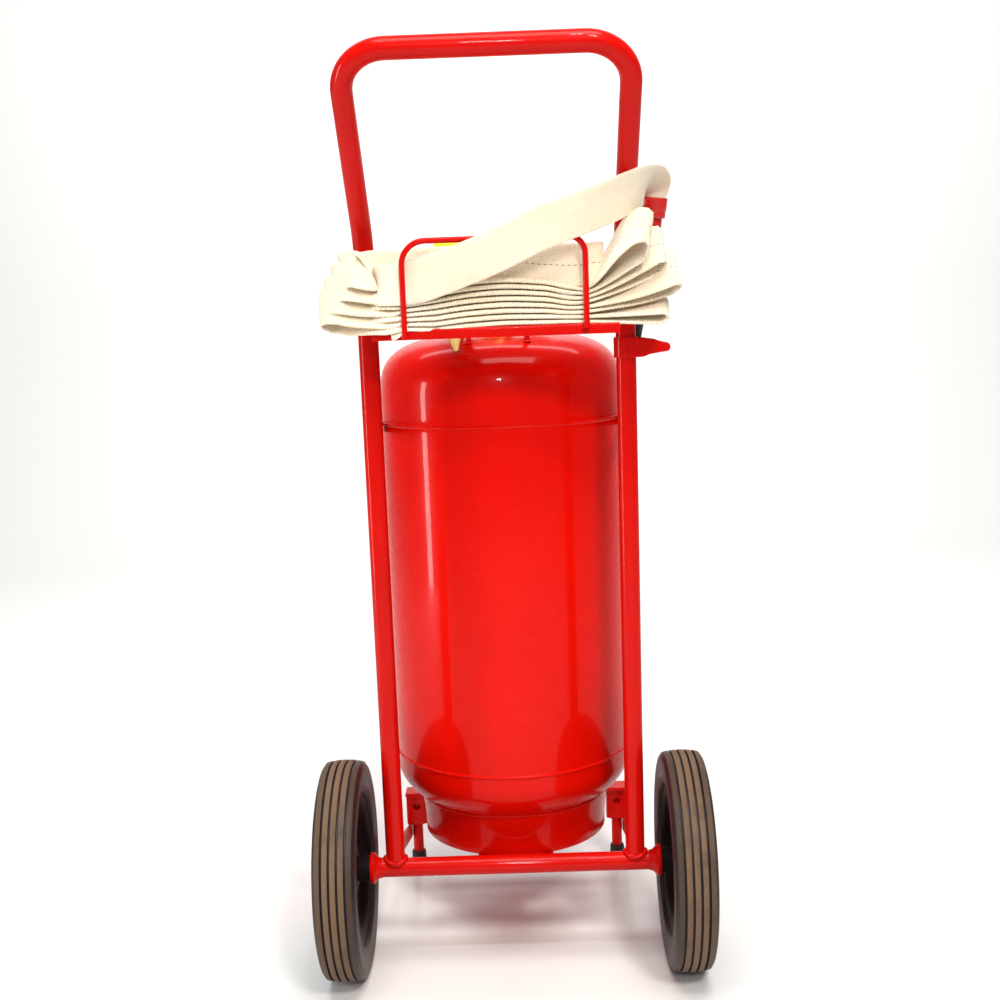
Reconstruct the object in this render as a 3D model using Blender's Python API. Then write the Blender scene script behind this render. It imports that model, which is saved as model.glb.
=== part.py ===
"""Wheeled powder fire extinguisher: bent-tube trolley, welded tank, lever valve, canvas hose and nozzle.

Metres, +Z up. The operator stands on the -Y side and +X is to the operator's right.
The origin is on the floor under the middle of the trolley, without its hose.
"""

from math import cos, pi, radians, sin, sqrt

import bmesh
import bpy
from mathutils import Matrix, Vector

# ---------------------------------------------------------------- driving dimensions
GAP = 0.0003            # clearance between touching pieces
TUBE_R = 0.01085        # 21.7 mm steel tube
TUBE_WALL = 0.002
LEG_X = 0.1385          # half spacing of the legs
AXLE_Z = 0.125
BEND_Z = 0.8275         # where the legs bend back to the grip
LEAN = radians(41.4)    # lean of the grip from the vertical
GRIP_RUN = 0.2275       # from the bend to the middle of the grip bar
BEND_R = 0.06
CORNER_R = 0.045

WHEEL_R = 0.125
TYRE_W = 0.047
WHEEL_X = 0.1946        # half track
AXLE_R = 0.007
AXLE_TUBE_HALF = 0.162
FLANGE_R = 0.018
FLANGE_T = 0.005
HUB_R = 0.0145
BUSH_R = 0.0105
RIM_R = 0.088           # bore of the tyre
WHEEL_SIDES = 28

TANK_R = 0.1439
TANK_WALL = 0.003
TANK_DY = 0.1566        # tank axis ahead of the axle
WELD_TOP_Z = 0.6274
WELD_LOW_Z = 0.2241
DOME_SKIRT = 0.016
DOME_H = 0.083
DOME_POWER = 3.5
DOME_LOW_H = 0.070
BOSS_R = 0.025
BOSS_RISE = 0.0055
RING_R = 0.1123
RING_LOW_Z = 0.1155
TANK_SIDES = 32

SHELF_TOP_Z = 0.7385
SHELF_LIP_Z = 0.7275
SHELF_FRONT = -0.060    # from the axle, as the offsets below
BAIL_HALF = 0.0935
BAIL_TOP_Z = 0.8265
BAIL_R = 0.003
BAIL_DY = -0.0635

FOOT_DY = 0.285
FOOT_X = 0.136
FOOT_LEG_R = 0.0069
FOOT_PAD_R = 0.0107
FOOT_PAD_H = 0.0265

OUTLET_Z = 0.765        # height of the valve's side outlet
LEVER_Z = 0.825
LEVER_LEN = 0.0725
ELBOW_X = -0.0455
ELBOW_END_DY = 0.024
PLUG_DY = 0.038
LUG_DY = 0.058
LUG_HALF = 0.033

NOZZLE_TOP = Vector((0.1705, 0.004, 0.866))
NOZZLE_LOW = Vector((0.1500, 0.024, 0.716))
HOSE_W = 0.043          # flat width of the canvas hose

# ---------------------------------------------------------------- derived places
GRIP_DY = -GRIP_RUN * sin(LEAN)
GRIP_Z = BEND_Z + GRIP_RUN * cos(LEAN)
REAR = GRIP_DY - TUBE_R
FRONT = TANK_DY + TANK_R
AXLE_Y = -(REAR + FRONT) / 2
TANK_Y = AXLE_Y + TANK_DY
DOME_BASE_Z = WELD_TOP_Z + DOME_SKIRT
DOME_LOW_BASE_Z = WELD_LOW_Z - DOME_SKIRT
SIDES = (("left", -1), ("right", 1))


# ---------------------------------------------------------------- tools
def clear_scene():
    for obj in list(bpy.data.objects):
        bpy.data.objects.remove(obj, do_unlink=True)


def material(name, colour, roughness, metallic=0.0):
    mat = bpy.data.materials.new(name)
    mat.use_nodes = True
    shader = mat.node_tree.nodes["Principled BSDF"]
    shader.inputs["Base Color"].default_value = (*colour, 1.0)
    shader.inputs["Roughness"].default_value = roughness
    shader.inputs["Metallic"].default_value = metallic
    return mat


def finished(name, bm, mat, parent=None):
    """Makes an object from bmesh data, facing out and shaded smooth below 35 degrees."""
    bmesh.ops.remove_doubles(bm, verts=bm.verts, dist=1e-6)
    bmesh.ops.recalc_face_normals(bm, faces=bm.faces)
    mesh = bpy.data.meshes.new(name)
    bm.to_mesh(mesh)
    bm.free()
    mesh.shade_smooth()
    mesh.set_sharp_from_angle(angle=radians(35))
    mesh.materials.append(mat)
    obj = bpy.data.objects.new(name, mesh)
    bpy.context.scene.collection.objects.link(obj)
    obj.parent = parent
    return obj


def pivot(name, place, rotation=(0, 0, 0)):
    empty = bpy.data.objects.new(name, None)
    empty.location = place
    empty.rotation_euler = rotation
    bpy.context.scene.collection.objects.link(empty)
    return empty


def turned(name, outline, mat, sides=24, parent=None, place=(0, 0, 0), rotation=(0, 0, 0)):
    """Spins a closed (radius, height) outline about local Z. Points at radius 0 close the solid."""
    bm = bmesh.new()
    rings = []
    for radius, height in outline:
        if radius == 0:
            rings.append([bm.verts.new((0, 0, height))] * sides)
        else:
            angles = [2 * pi * i / sides for i in range(sides)]
            rings.append([bm.verts.new((radius * cos(a), radius * sin(a), height)) for a in angles])
    for ring, after in zip(rings, rings[1:] + rings[:1]):
        for i in range(sides):
            j = (i + 1) % sides
            corners = []
            for vert in (ring[i], ring[j], after[j], after[i]):
                if vert not in corners:
                    corners.append(vert)
            if len(corners) > 2:
                bm.faces.new(corners)
    obj = finished(name, bm, mat, parent)
    obj.location = place
    obj.rotation_euler = rotation
    return obj


def ring_frames(path):
    """Right and up vectors at each point, carried along the path without twist."""
    tangents = []
    for i, point in enumerate(path):
        before = path[max(i - 1, 0)]
        after = path[min(i + 1, len(path) - 1)]
        tangents.append((after - before).normalized())
    start = Vector((0, 0, 1)) if abs(tangents[0].z) < 0.9 else Vector((0, 1, 0))
    right = tangents[0].cross(start).normalized()
    frames = []
    for i, tangent in enumerate(tangents):
        if i:
            right = tangents[i - 1].rotation_difference(tangent) @ right
        right = (right - tangent * right.dot(tangent)).normalized()
        frames.append((right, right.cross(tangent)))
    return frames


def swept(name, path, radius, mat, bore=0.0, sides=12, parent=None):
    """A round bar along a path, or a tube with open ends when it has a bore."""
    bm = bmesh.new()
    frames = ring_frames(path)
    skins = []
    for skin_radius in [radius] + ([bore] if bore else []):
        rings = []
        for point, (right, up) in zip(path, frames):
            angles = [2 * pi * (i + 0.5) / sides for i in range(sides)]
            rings.append([
                bm.verts.new(point + right * (skin_radius * cos(a)) + up * (skin_radius * sin(a)))
                for a in angles
            ])
        for ring, after in zip(rings, rings[1:]):
            for i in range(sides):
                j = (i + 1) % sides
                bm.faces.new((ring[i], ring[j], after[j], after[i]))
        skins.append(rings)
    for end in (0, -1):
        if bore:
            outer, inner = skins[0][end], skins[1][end]
            for i in range(sides):
                j = (i + 1) % sides
                bm.faces.new((outer[i], outer[j], inner[j], inner[i]))
        else:
            bm.faces.new(skins[0][end])
    return finished(name, bm, mat, parent)


def extruded(name, outline, low, high, axis, mat, parent=None):
    """Extrudes a closed outline between two heights along X, Y or Z.

    The outline is (y, z) for X, (x, z) for Y and (x, y) for Z.
    """
    def place(a, b, height):
        return {"X": (height, a, b), "Y": (a, height, b), "Z": (a, b, height)}[axis]

    bm = bmesh.new()
    bottom = bm.faces.new([bm.verts.new(place(a, b, low)) for a, b in outline])
    grown = bmesh.ops.extrude_face_region(bm, geom=[bottom])
    verts = [item for item in grown["geom"] if isinstance(item, bmesh.types.BMVert)]
    bmesh.ops.translate(bm, verts=verts, vec=place(0, 0, high - low))
    return finished(name, bm, mat, parent)


def block(name, low, high, mat, parent=None, rounding=0.0):
    bm = bmesh.new()
    bmesh.ops.create_cube(bm, size=1.0)
    size = [h - l for l, h in zip(low, high)]
    centre = [(h + l) / 2 for l, h in zip(low, high)]
    bmesh.ops.scale(bm, verts=bm.verts, vec=size)
    bmesh.ops.translate(bm, verts=bm.verts, vec=centre)
    if rounding:
        bmesh.ops.bevel(bm, geom=bm.edges, offset=rounding, segments=2, affect="EDGES", profile=0.5)
    return finished(name, bm, mat, parent)


def helper(obj):
    obj.hide_render = True
    obj.display_type = "WIRE"
    return obj


def boolean(target, others, operation):
    for other in others:
        modifier = target.modifiers.new(operation.title(), "BOOLEAN")
        modifier.operation = operation
        modifier.object = helper(other)
    return target


def arc(centre, start, end, radius, steps):
    """Points on a circle in a plane, from one angle to another (degrees)."""
    angles = [radians(start + (end - start) * i / steps) for i in range(steps + 1)]
    return [(centre[0] + radius * cos(a), centre[1] + radius * sin(a)) for a in angles]


def rounded_path(corners, radii, steps=6):
    """Straight runs joined by arcs: corners are the meeting points of the runs."""
    path = [corners[0]]
    for before, corner, after, radius in zip(corners, corners[1:], corners[2:], radii):
        to_before = (before - corner).normalized()
        to_after = (after - corner).normalized()
        half = to_before.angle(to_after) / 2
        reach = radius * cos(half) / sin(half)
        middle = (to_before + to_after).normalized()
        centre = corner + middle * (radius / sin(half))
        first = corner + to_before * reach - centre
        last = corner + to_after * reach - centre
        for i in range(steps + 1):
            path.append(centre + first.slerp(last, i / steps).normalized() * radius)
    path.append(corners[-1])
    return path


def smooth_route(points, spacing):
    """A curve through hand-placed points, resampled evenly for a cord."""
    points = [Vector(p) for p in points]
    points = [points[0] * 2 - points[1]] + points + [points[-1] * 2 - points[-2]]
    fine = []
    for a, b, c, d in zip(points, points[1:], points[2:], points[3:]):
        for i in range(24):
            t = i / 24
            fine.append((b * 2 + (c - a) * t + (a * 2 - b * 5 + c * 4 - d) * t * t
                         + (b * 3 - a - c * 3 + d) * t ** 3) / 2)
    fine.append(points[-2])
    route = [fine[0]]
    for point in fine:
        if (point - route[-1]).length >= spacing:
            route.append(point)
    route[-1] = fine[-1]
    return route


def cord(name, route, radius, mat):
    data = bpy.data.curves.new(name, "CURVE")
    data.dimensions = "3D"
    data.bevel_depth = radius
    data.bevel_resolution = 2
    data.use_fill_caps = True
    spline = data.splines.new("POLY")
    spline.points.add(len(route) - 1)
    for point, place in zip(spline.points, route):
        point.co = (*place, 1.0)
    data.materials.append(mat)
    obj = bpy.data.objects.new(name, data)
    bpy.context.scene.collection.objects.link(obj)
    return obj


def dome_height(radius, height=DOME_H, power=DOME_POWER):
    """Height of a domed end over its base; a power above 2 gives it fuller shoulders than an ellipse."""
    return height * max(0.0, 1 - (radius / TANK_R) ** power) ** (1 / power)


# ---------------------------------------------------------------- trolley
def frame_tube(red):
    """Both legs and the grip, one tube bent four times, open at its lower ends."""
    foot_z = AXLE_Z + TUBE_R + GAP
    corners = [
        Vector((-LEG_X, AXLE_Y, foot_z)),
        Vector((-LEG_X, AXLE_Y, BEND_Z)),
        Vector((-LEG_X, AXLE_Y + GRIP_DY, GRIP_Z)),
        Vector((LEG_X, AXLE_Y + GRIP_DY, GRIP_Z)),
        Vector((LEG_X, AXLE_Y, BEND_Z)),
        Vector((LEG_X, AXLE_Y, foot_z)),
    ]
    path = rounded_path(corners, (BEND_R, CORNER_R, CORNER_R, BEND_R), 5)
    swept("frame_tube", path, TUBE_R, red, bore=TUBE_R - TUBE_WALL, sides=10)


def axle_tube(red):
    ends = [Vector((x, AXLE_Y, AXLE_Z)) for x in (-AXLE_TUBE_HALF, 0, AXLE_TUBE_HALF)]
    swept("axle_tube", ends, TUBE_R, red, bore=TUBE_R - TUBE_WALL, sides=16)


def hose_shelf(red):
    """A plate between the legs with a lip turned down along both long edges."""
    plate = 0.002
    front, back = AXLE_Y + SHELF_FRONT, AXLE_Y + 0.008
    outline = [
        (front, SHELF_TOP_Z), (front, SHELF_LIP_Z), (front + plate, SHELF_LIP_Z),
        (front + plate, SHELF_TOP_Z - plate), (back - plate, SHELF_TOP_Z - plate),
        (back - plate, SHELF_LIP_Z), (back, SHELF_LIP_Z), (back, SHELF_TOP_Z),
    ]
    half = LEG_X - TUBE_R - GAP
    extruded("hose_shelf", outline, -half, half, "X", red)


def hose_bail(red):
    """The rod that keeps the hose on the shelf, welded to the front lip."""
    y = AXLE_Y + BAIL_DY
    corners = [
        Vector((-BAIL_HALF, y, SHELF_LIP_Z + 0.001)),
        Vector((-BAIL_HALF, y, BAIL_TOP_Z)),
        Vector((BAIL_HALF, y, BAIL_TOP_Z)),
        Vector((BAIL_HALF, y, SHELF_LIP_Z + 0.006)),
    ]
    swept("hose_bail", rounded_path(corners, (0.024, 0.018), 4), BAIL_R, red, sides=6)


def nozzle_bracket(red):
    """A band round the right leg, with a tapered hose hook and a cup for the nozzle's tip."""
    low, high = 0.6995, 0.7215
    bore, outer = TUBE_R + GAP, 0.0133
    band = turned(
        "nozzle_bracket", [(bore, low), (outer, low), (outer, high), (bore, high)], red,
        sides=20, place=(LEG_X, AXLE_Y, 0),
    )
    hook = [(LEG_X + 0.0086, high), (LEG_X + 0.0295, 0.7185), (LEG_X + 0.040, 0.7155)]
    hook += arc((LEG_X + 0.0415, 0.7095), 70, -70, 0.0050, 4)
    hook += [(LEG_X + 0.024, 0.7025), (LEG_X + 0.0086, low)]
    finger = extruded("hook_finger", hook, AXLE_Y - 0.0131, AXLE_Y - 0.0075, "Y", red)
    cup_at = (NOZZLE_LOW.x, AXLE_Y + NOZZLE_LOW.y, 0)
    cup = turned(
        "tip_cup", [(0.0085, 0.7045), (0.0108, 0.7045), (0.0108, 0.7195), (0.0085, 0.7195)], red,
        sides=16, place=cup_at,
    )
    web = block(
        "cup_web", (LEG_X + 0.0035, AXLE_Y + 0.0112, 0.7055),
        (LEG_X + 0.0085, AXLE_Y + 0.0158, 0.7165), red,
    )
    boolean(band, [finger, web, cup], "UNION")


def front_support(red, rubber):
    """Arms from the axle tube, brackets, cross bars under the tank, and legs with rubber feet."""
    bar_top = RING_LOW_Z - GAP
    bar_low = bar_top - 0.005
    bracket_low, bracket_high = 0.0668, bar_low - GAP
    arm_x = FOOT_X + FOOT_LEG_R + 0.0006
    back = AXLE_Y + TUBE_R + GAP
    front = AXLE_Y + FOOT_DY + 0.010
    for side, sign in SIDES:
        slope = [
            (back, 0.1165), (back, 0.1345), (AXLE_Y + 0.030, 0.1345), (front - 0.023, 0.0660),
            (front, 0.0660), (front, 0.0460), (front - 0.012, 0.0460),
        ]
        low, high = sorted((sign * arm_x, sign * (arm_x + 0.005)))
        extruded(f"front_arm_{side}", slope, low, high, "X", red)
        low, high = sorted((sign * (FOOT_X - 0.014), sign * (FOOT_X + 0.013)))
        bracket = block(
            f"front_bracket_{side}", (low, AXLE_Y + FOOT_DY - 0.012, bracket_low),
            (high, AXLE_Y + FOOT_DY + 0.014, bracket_high), red,
        )
        room = block(
            f"bracket_room_{side}", (low + 0.003, AXLE_Y + FOOT_DY - 0.009, bracket_low - 0.01),
            (high - 0.003, AXLE_Y + FOOT_DY + 0.020, bracket_high - 0.003), red,
        )
        hole = turned(
            f"bracket_hole_{side}", [(0, -0.02), (0.004, -0.02), (0.004, 0.02), (0, 0.02)], red,
            sides=10, place=(sign * (FOOT_X - 0.001), AXLE_Y + FOOT_DY - 0.012, 0.094),
            rotation=(pi / 2, 0, 0),
        )
        boolean(bracket, [room, hole], "DIFFERENCE")
        place = (sign * FOOT_X, AXLE_Y + FOOT_DY, 0)
        top = bracket_high - 0.003 - GAP
        turned(
            f"front_leg_{side}",
            [(0, 0.006), (FOOT_LEG_R, 0.006), (FOOT_LEG_R, top), (0, top)], red,
            sides=12, place=place,
        )
        wall = FOOT_LEG_R + GAP
        pad = [
            (0, 0), (FOOT_PAD_R - 0.001, 0), (FOOT_PAD_R, 0.002), (FOOT_PAD_R - 0.0008, FOOT_PAD_H),
            (wall, FOOT_PAD_H), (wall, 0.0057), (0, 0.0057),
        ]
        turned(f"front_foot_{side}", pad, rubber, sides=12, place=place)
    bars = (("front", 0.2620, 0.0270, FOOT_X + 0.013), ("rear", 0.0056, 0.0604, 0.0450))
    for name, start, depth, reach in bars:
        block(
            f"base_bar_{name}", (-reach, AXLE_Y + start, bar_low), (reach, AXLE_Y + start + depth, bar_top),
            red,
        )


# ---------------------------------------------------------------- wheels
def wheel(side, sign, tyre_rubber, black_steel, nylon, zinc):
    """One wheel on its own pivot. Its local +Z points away from the trolley."""
    hub_in = AXLE_TUBE_HALF + FLANGE_T + 2 * GAP - WHEEL_X
    hub_out = 0.0210
    axis = pivot(f"wheel_{side}_axis", (sign * WHEEL_X, AXLE_Y, AXLE_Z), (0, sign * pi / 2, 0))
    half = TYRE_W / 2
    tyre = [
        (RIM_R, -half + 0.004), (0.098, -half), (0.118, -half), (WHEEL_R, -half + 0.011),
        (WHEEL_R, half - 0.011), (0.118, half), (0.098, half), (RIM_R, half - 0.004),
    ]
    turned(f"tyre_{side}", tyre, tyre_rubber, sides=WHEEL_SIDES, parent=axis)
    rim = RIM_R - GAP
    disc = [
        (HUB_R + GAP, -0.0100), (0.030, -0.0100), (0.058, -0.0040), (0.078, -0.0150), (rim, -0.0170),
        (rim, 0.0170), (0.078, 0.0150), (0.058, 0.0040), (0.030, 0.0100), (HUB_R + GAP, 0.0100),
    ]
    turned(f"wheel_disc_{side}", disc, black_steel, sides=WHEEL_SIDES, parent=axis)
    hub = [
        (BUSH_R + GAP, hub_in), (HUB_R, hub_in), (HUB_R, hub_out - GAP), (BUSH_R + GAP, hub_out - GAP),
    ]
    turned(f"wheel_hub_{side}", hub, black_steel, sides=16, parent=axis)
    bush = [
        (AXLE_R + 0.0004, hub_in), (BUSH_R, hub_in), (BUSH_R, hub_out - GAP),
        (AXLE_R + 0.0004, hub_out - GAP),
    ]
    turned(f"wheel_bush_{side}", bush, nylon, sides=16, parent=axis)
    washer = [
        (AXLE_R + 0.0004, hub_out), (0.0125, hub_out), (0.0125, hub_out + 0.002),
        (AXLE_R + 0.0004, hub_out + 0.002),
    ]
    turned(f"wheel_washer_{side}", washer, zinc, sides=16, parent=axis)


def axle(red, zinc):
    """The rod through the axle tube, its two end flanges and the split pins."""
    rod_half = WHEEL_X + 0.0289
    rod = turned(
        "axle_rod", [(0, -rod_half), (AXLE_R, -rod_half), (AXLE_R, rod_half), (0, rod_half)], zinc,
        sides=16, place=(0, AXLE_Y, AXLE_Z), rotation=(0, pi / 2, 0),
    )
    for side, sign in SIDES:
        flange = [
            (AXLE_R + 0.0004, AXLE_TUBE_HALF + GAP), (FLANGE_R, AXLE_TUBE_HALF + GAP),
            (FLANGE_R, AXLE_TUBE_HALF + GAP + FLANGE_T),
            (AXLE_R + 0.0004, AXLE_TUBE_HALF + GAP + FLANGE_T),
        ]
        turned(
            f"axle_flange_{side}", flange, red, sides=16, place=(0, AXLE_Y, AXLE_Z),
            rotation=(0, sign * pi / 2, 0),
        )
        pin_x = sign * (WHEEL_X + 0.0263)
        drill = turned(
            f"pin_drill_{side}", [(0, -0.02), (0.0016, -0.02), (0.0016, 0.02), (0, 0.02)], zinc,
            sides=8, place=(pin_x, AXLE_Y, AXLE_Z),
        )
        boolean(rod, [drill], "DIFFERENCE")
        turned(
            f"split_pin_{side}",
            [(0, -0.0125), (0.0012, -0.0125), (0.0012, 0.0085), (0.0026, 0.0100), (0.0026, 0.0125),
             (0, 0.0125)],
            zinc, sides=8, place=(pin_x, AXLE_Y, AXLE_Z),
        )


# ---------------------------------------------------------------- tank
def dome_outline(sign, base_z, weld_z, hole, height, power):
    """Section of a domed end, outside and inside, then the skirt down to the weld."""
    steps = 8
    outer, inner = [], []
    for i in range(steps + 1):
        turn = i / steps * pi / 2
        across, up = cos(turn) ** (2 / power), sin(turn) ** (2 / power)
        outer.append((TANK_R * across, base_z + sign * height * up))
        inner.append(((TANK_R - TANK_WALL) * across, base_z + sign * (height - TANK_WALL) * up))
    if hole:
        outer = [p for p in outer[:-1] if p[0] > hole * 1.05]
        inner = [p for p in inner[:-1] if p[0] > hole * 1.05]
        outer.append((hole, base_z + sign * dome_height(hole, height, power)))
        inner.append((hole, base_z + sign * (dome_height(hole, height, power) - TANK_WALL)))
    else:
        outer[-1] = (0, outer[-1][1])
        inner[-1] = (0, inner[-1][1])
    edge = weld_z + sign * GAP
    return [(TANK_R, edge)] + outer + inner[::-1] + [(TANK_R - TANK_WALL, edge)]


def tank(red, steel):
    place = (0, TANK_Y, 0)
    low, high = WELD_LOW_Z, WELD_TOP_Z
    barrel = [
        (TANK_R - TANK_WALL, low + GAP), (TANK_R, low + GAP), (TANK_R, high - GAP),
        (TANK_R - TANK_WALL, high - GAP),
    ]
    turned("tank_barrel", barrel, red, sides=TANK_SIDES, place=place)
    top = dome_outline(1, DOME_BASE_Z, high, BOSS_R + GAP, DOME_H, DOME_POWER)
    turned("tank_top_dome", top, red, sides=TANK_SIDES, place=place)
    bottom = dome_outline(-1, DOME_LOW_BASE_Z, low, 0, DOME_LOW_H, 2)
    turned("tank_bottom_dome", bottom, red, sides=TANK_SIDES, place=place)
    wall = 0.0025
    ring_top_z = DOME_LOW_BASE_Z - dome_height(RING_R + 0.004, DOME_LOW_H, 2) - 0.0015
    ring = [
        (RING_R - wall, RING_LOW_Z), (RING_R, RING_LOW_Z), (RING_R + 0.004, ring_top_z),
        (RING_R + 0.004 - wall, ring_top_z - 0.0005),
    ]
    turned("tank_foot_ring", ring, red, sides=TANK_SIDES, place=place)
    boss_z = DOME_BASE_Z + dome_height(BOSS_R)
    boss = [
        (0.010, boss_z - 0.006), (BOSS_R, boss_z - 0.006), (BOSS_R, boss_z + BOSS_RISE - 0.0015),
        (BOSS_R - 0.0015, boss_z + BOSS_RISE), (0.010, boss_z + BOSS_RISE),
    ]
    turned("neck_boss", boss, red, sides=16, place=place)
    dip = [(0.0072, 0.165), (0.0092, 0.165), (0.0092, boss_z + 0.001), (0.0072, boss_z + 0.001)]
    turned("dip_tube", dip, steel, sides=10, place=place)


def lifting_lugs(red):
    """A rod staple across the dome in front of the neck, and one behind it."""
    half, rod = LUG_HALF, 0.003
    reach = TANK_DY - LUG_DY
    foot_z = DOME_BASE_Z + dome_height(sqrt(half * half + reach * reach) - rod) + 0.0004
    top_z = foot_z + 0.024
    for end, y in (("near", TANK_Y - reach), ("far", TANK_Y + reach)):
        corners = [
            Vector((-half, y, foot_z)), Vector((-half, y, top_z)),
            Vector((half, y, top_z)), Vector((half, y, foot_z)),
        ]
        swept(f"lifting_lug_{end}", rounded_path(corners, (0.010, 0.010), 3), rod, red, sides=6)


def tank_lugs(red):
    """Plates that weld the barrel to the legs."""
    low, high = 0.617, 0.629
    thick = 0.005
    x = LEG_X + thick / 2
    back = AXLE_Y + TUBE_R + GAP
    reach = sqrt((TANK_R + GAP) ** 2 - (x - thick / 2) ** 2)
    front = TANK_Y - reach - 0.0004
    for side, sign in SIDES:
        a, b = sorted((sign * (x - thick / 2), sign * (x + thick / 2)))
        block(f"tank_lug_{side}", (a, back, low), (b, front, high), red)


# ---------------------------------------------------------------- valve
def valve(brass, steel, yellow):
    """Angle ball valve: inlet from below, outlet to the left, lever on top."""
    neck_z = DOME_BASE_Z + dome_height(BOSS_R) + BOSS_RISE + GAP
    bonnet_z = OUTLET_Z + 0.045
    place = (0, TANK_Y, 0)
    outline = [
        (0, neck_z), (0.0215, neck_z), (0.0215, neck_z + 0.010), (0.0175, neck_z + 0.012),
        (0.0175, OUTLET_Z + 0.020), (0.0120, OUTLET_Z + 0.026), (0.0120, bonnet_z), (0, bonnet_z),
    ]
    body = turned("valve_body", outline, brass, sides=16, place=place)
    side = turned(
        "outlet_boss", [(0, 0.005), (0.0115, 0.005), (0.0115, 0.030), (0, 0.030)], brass, sides=12,
        place=(0, TANK_Y, OUTLET_Z), rotation=(0, -pi / 2, 0),
    )
    gauge_side = turned(
        "gauge_boss", [(0, 0.005), (0.0085, 0.005), (0.0085, 0.0235), (0, 0.0235)], brass, sides=10,
        place=(0, TANK_Y, OUTLET_Z), rotation=(0, pi / 2, 0),
    )
    ear = block(
        "pin_ear", (-0.0270, TANK_Y - 0.0125, bonnet_z - 0.006),
        (-0.0050, TANK_Y - 0.0035, bonnet_z - 0.0025), brass,
    )
    boolean(body, [side, gauge_side, ear], "UNION")
    ball_r, cavity_r = 0.0115, 0.0128
    cavity = turned(
        "ball_cavity", [(0, -cavity_r)] + arc((0, 0), -75, 75, cavity_r, 5) + [(0, cavity_r)],
        brass, sides=12, place=(0, TANK_Y, OUTLET_Z),
    )
    inlet = turned(
        "inlet_bore", [(0, neck_z - 0.01), (0.0068, neck_z - 0.01), (0.0068, OUTLET_Z), (0, OUTLET_Z)],
        brass, sides=10, place=place,
    )
    outlet = turned(
        "outlet_bore", [(0, 0), (0.0068, 0), (0.0068, 0.04), (0, 0.04)], brass, sides=10,
        place=(0, TANK_Y, OUTLET_Z), rotation=(0, -pi / 2, 0),
    )
    gland = turned(
        "stem_bore", [(0, OUTLET_Z), (0.0047, OUTLET_Z), (0.0047, bonnet_z + 0.01), (0, bonnet_z + 0.01)],
        brass, sides=10, place=place,
    )
    ear_hole = turned(
        "ear_hole", [(0, -0.01), (0.0022, -0.01), (0.0022, 0.01), (0, 0.01)], brass, sides=8,
        place=(-0.0220, TANK_Y - 0.0080, bonnet_z - 0.004),
    )
    boolean(body, [cavity, inlet, outlet, gland, ear_hole], "DIFFERENCE")

    turn = pivot("valve_lever_axis", (0, TANK_Y, OUTLET_Z))
    ball = turned(
        "valve_ball", [(0, -ball_r)] + arc((0, 0), -75, 75, ball_r, 5) + [(0, ball_r)], steel,
        sides=12, parent=turn,
    )
    port = turned(
        "ball_port", [(0, -0.02), (0.0060, -0.02), (0.0060, 0.02), (0, 0.02)], steel, sides=10,
        parent=turn, rotation=(pi / 2, 0, 0),
    )
    boolean(ball, [port], "DIFFERENCE")
    stem_top = LEVER_Z + 0.009 - OUTLET_Z
    turned(
        "valve_stem", [(0, ball_r + GAP), (0.0043, ball_r + GAP), (0.0043, stem_top), (0, stem_top)],
        steel, sides=10, parent=turn,
    )
    height = LEVER_Z - OUTLET_Z
    hub = turned(
        "valve_lever",
        [(0.0047, height - 0.008), (0.0095, height - 0.008), (0.0095, height + 0.006),
         (0.0047, height + 0.006)], steel, sides=12, parent=turn,
    )
    blade = block(
        "lever_blade", (-LEVER_LEN + 0.002, -0.0015, height - 0.0065), (-0.0070, 0.0015, height + 0.0065),
        steel, parent=turn,
    )
    boolean(hub, [blade], "UNION")
    sleeve = block(
        "lever_sleeve", (-LEVER_LEN, -0.0050, height - 0.0110), (-0.0290, 0.0050, height + 0.0105),
        yellow, parent=turn, rounding=0.003,
    )
    room = block(
        "sleeve_room", (-LEVER_LEN + 0.0016, -0.0019, height - 0.0069), (-0.0200, 0.0019, height + 0.0069),
        yellow, parent=turn,
    )
    boolean(sleeve, [room], "DIFFERENCE")

    pin_low, pin_high = bonnet_z - 0.014, bonnet_z + 0.012
    pin_axis = pivot("safety_pin_axis", (-0.0220, TANK_Y - 0.0080, 0))
    pin = turned(
        "safety_pin",
        [(0, pin_low), (0.0015, pin_low), (0.0015, bonnet_z - 0.0022), (0.0030, bonnet_z - 0.0022),
         (0.0030, pin_high), (0, pin_high)], steel, sides=8, parent=pin_axis,
    )
    ring_path = [Vector((x, y, pin_high - 0.003)) for x, y in arc((0, -0.0110), 90, 450, 0.0100, 16)]
    ring = closed_ring("pull_ring", ring_path[:-1], 0.0011, steel, pin_axis)
    boolean(pin, [ring], "UNION")


def closed_ring(name, path, radius, mat, parent, sides=6):
    """A ring of round wire in a horizontal plane."""
    bm = bmesh.new()
    centre = sum(path, Vector()) / len(path)
    rings = []
    for point in path:
        out = (point - centre).normalized()
        angles = [2 * pi * i / sides for i in range(sides)]
        rings.append([
            bm.verts.new(point + out * (radius * cos(a)) + Vector((0, 0, radius * sin(a)))) for a in angles
        ])
    for ring, after in zip(rings, rings[1:] + rings[:1]):
        for i in range(sides):
            j = (i + 1) % sides
            bm.faces.new((ring[i], ring[j], after[j], after[i]))
    return finished(name, bm, mat, parent)


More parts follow.
